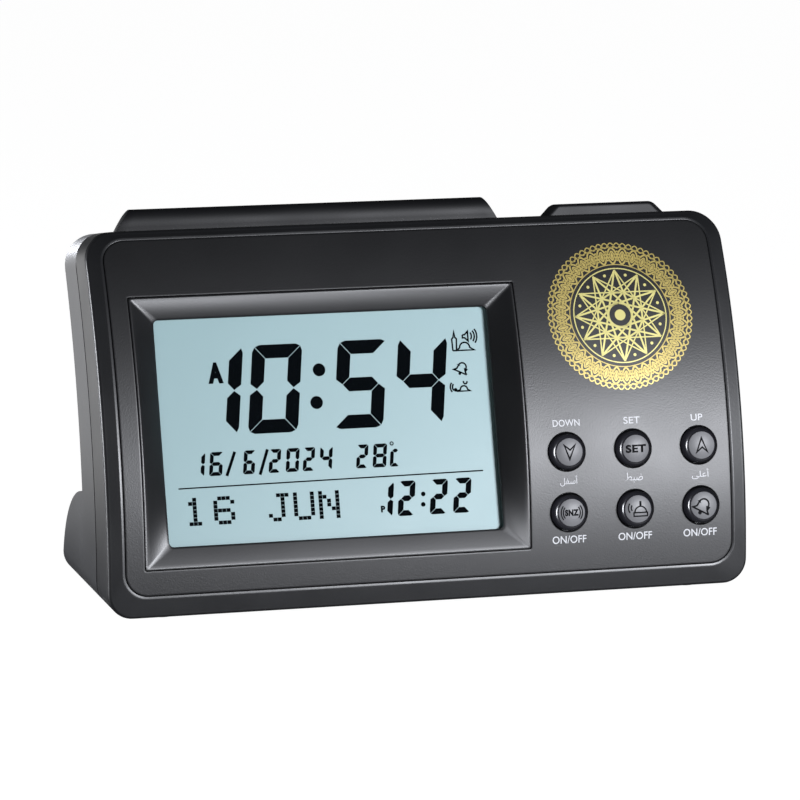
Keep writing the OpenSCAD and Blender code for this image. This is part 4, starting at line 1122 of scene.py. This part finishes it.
# %% Studio
world = bpy.data.worlds.new("studio")
bpy.context.scene.world = world
world.use_nodes = True
tree = world.node_tree
tree.nodes.clear()
out, mix, path, white, room = add_nodes(tree, "OutputWorld", "MixShader", "LightPath", "Background",
                                        "Background")
preset(white, Color=(1, 1, 1, 1))
preset(room, Color=(0.95, 0.98, 1.0, 1), Strength=0.05)
wire(tree, (path, "Is Camera Ray", mix, "Fac"), (room, "Background", mix, 1),
     (white, "Background", mix, 2), (mix, "Shader", out, "Surface"))
LIGHT_TONE = (0.96, 0.98, 1.04)


def lamp(name, place, target, size, power, only=()):
    """A rectangular soft light in mm, aimed at a point; with only, it lights just those pieces."""
    data = bpy.data.lights.new(name, "AREA")
    data.shape, data.size, data.size_y, data.energy = "RECTANGLE", size[0] * MM, size[1] * MM, power
    data.color = LIGHT_TONE
    light = new_object(name, data)
    start, end = Vector(to_frame(place)), Vector(to_frame(target))
    turn_to = (end - start).to_track_quat("-Z", "Y").to_matrix().to_4x4()
    light.matrix_world = Matrix.Translation(start) @ turn_to
    light.visible_camera = False
    if only:
        group = bpy.data.collections.new(name + "_pieces")
        for piece in only:
            group.objects.link(bpy.data.objects[piece])
        light.light_linking.receiver_collection = group
    return light


caps = [name + "_key_cap" for name in KEYS]
softbox = lamp("key_softbox", (400, -810, 243), (20, 5, 45), (320, 80), 10.8, caps)
for member in softbox.light_linking.receiver_collection.collection_objects:
    member.light_linking.link_state = "EXCLUDE"
lamp("bezel_card", (-10, -375, 12), (0, 21, 77), (200, 30), 1.2, ["screen_bezel_facets"])
lamp("key_card", (-300, -410, 110), (56, 2, 30), (200, 250), 17.0, caps)
lamp("edge_strip", (-627, 222, 60), (-87, 0, 50), (120, 320), 7.0)
lamp("rear_fill", (-420, 700, 330), (0, 30, 55), (420, 320), 14.0,
     ["rear_shell_skin", "battery_door_skin"])

# %% [markdown]
# The table is white. To the camera it glows up to the backdrop's white, and only a faint contact
# shadow is left. In reflections it is dimmer in front of the clock and brighter behind it and to
# its left.

# %% Table
floor_mesh = bpy.data.meshes.new("floor")
TABLE = 3.0  # metres from the middle to each side
floor_mesh.from_pydata([(-TABLE, -TABLE, 0), (TABLE, -TABLE, 0), (TABLE, TABLE, 0),
                        (-TABLE, TABLE, 0)], [], [(0, 1, 2, 3)])
floor = new_object("floor", floor_mesh)
floor_paint = finish("floor_white", (0.12, 0.12, 0.12), (0.5, 0.6), 20, 0.0, 0.01)
tree = floor_paint.node_tree
shader = preset(tree.nodes["Principled BSDF"], Emission_Color=(1, 1, 1, 1))
place, axes, ray, depth, aside, brighter, glow = add_nodes(
    tree, "TexCoord", "SeparateXYZ", "LightPath", "MapRange", "MapRange", "Math", "Mix")
brighter.operation = "MAXIMUM"
preset(depth, From_Min=0.05, From_Max=0.2, To_Min=0.05, To_Max=0.9)
preset(aside, From_Min=-0.1, From_Max=-0.16, To_Min=0.05, To_Max=0.8)
preset(glow, B=0.97)
wire(tree, (place, "Object", axes, "Vector"), (axes, "Y", depth, "Value"),
     (axes, "X", aside, "Value"), (depth, "Result", brighter, 0), (aside, "Result", brighter, 1),
     (ray, "Is Camera Ray", glow, "Factor"), (brighter, "Value", glow, "A"),
     (glow, "Result", shader, "Emission Strength"))
floor_mesh.materials.append(floor_paint)
bpy.context.scene.view_settings.view_transform = "Standard"
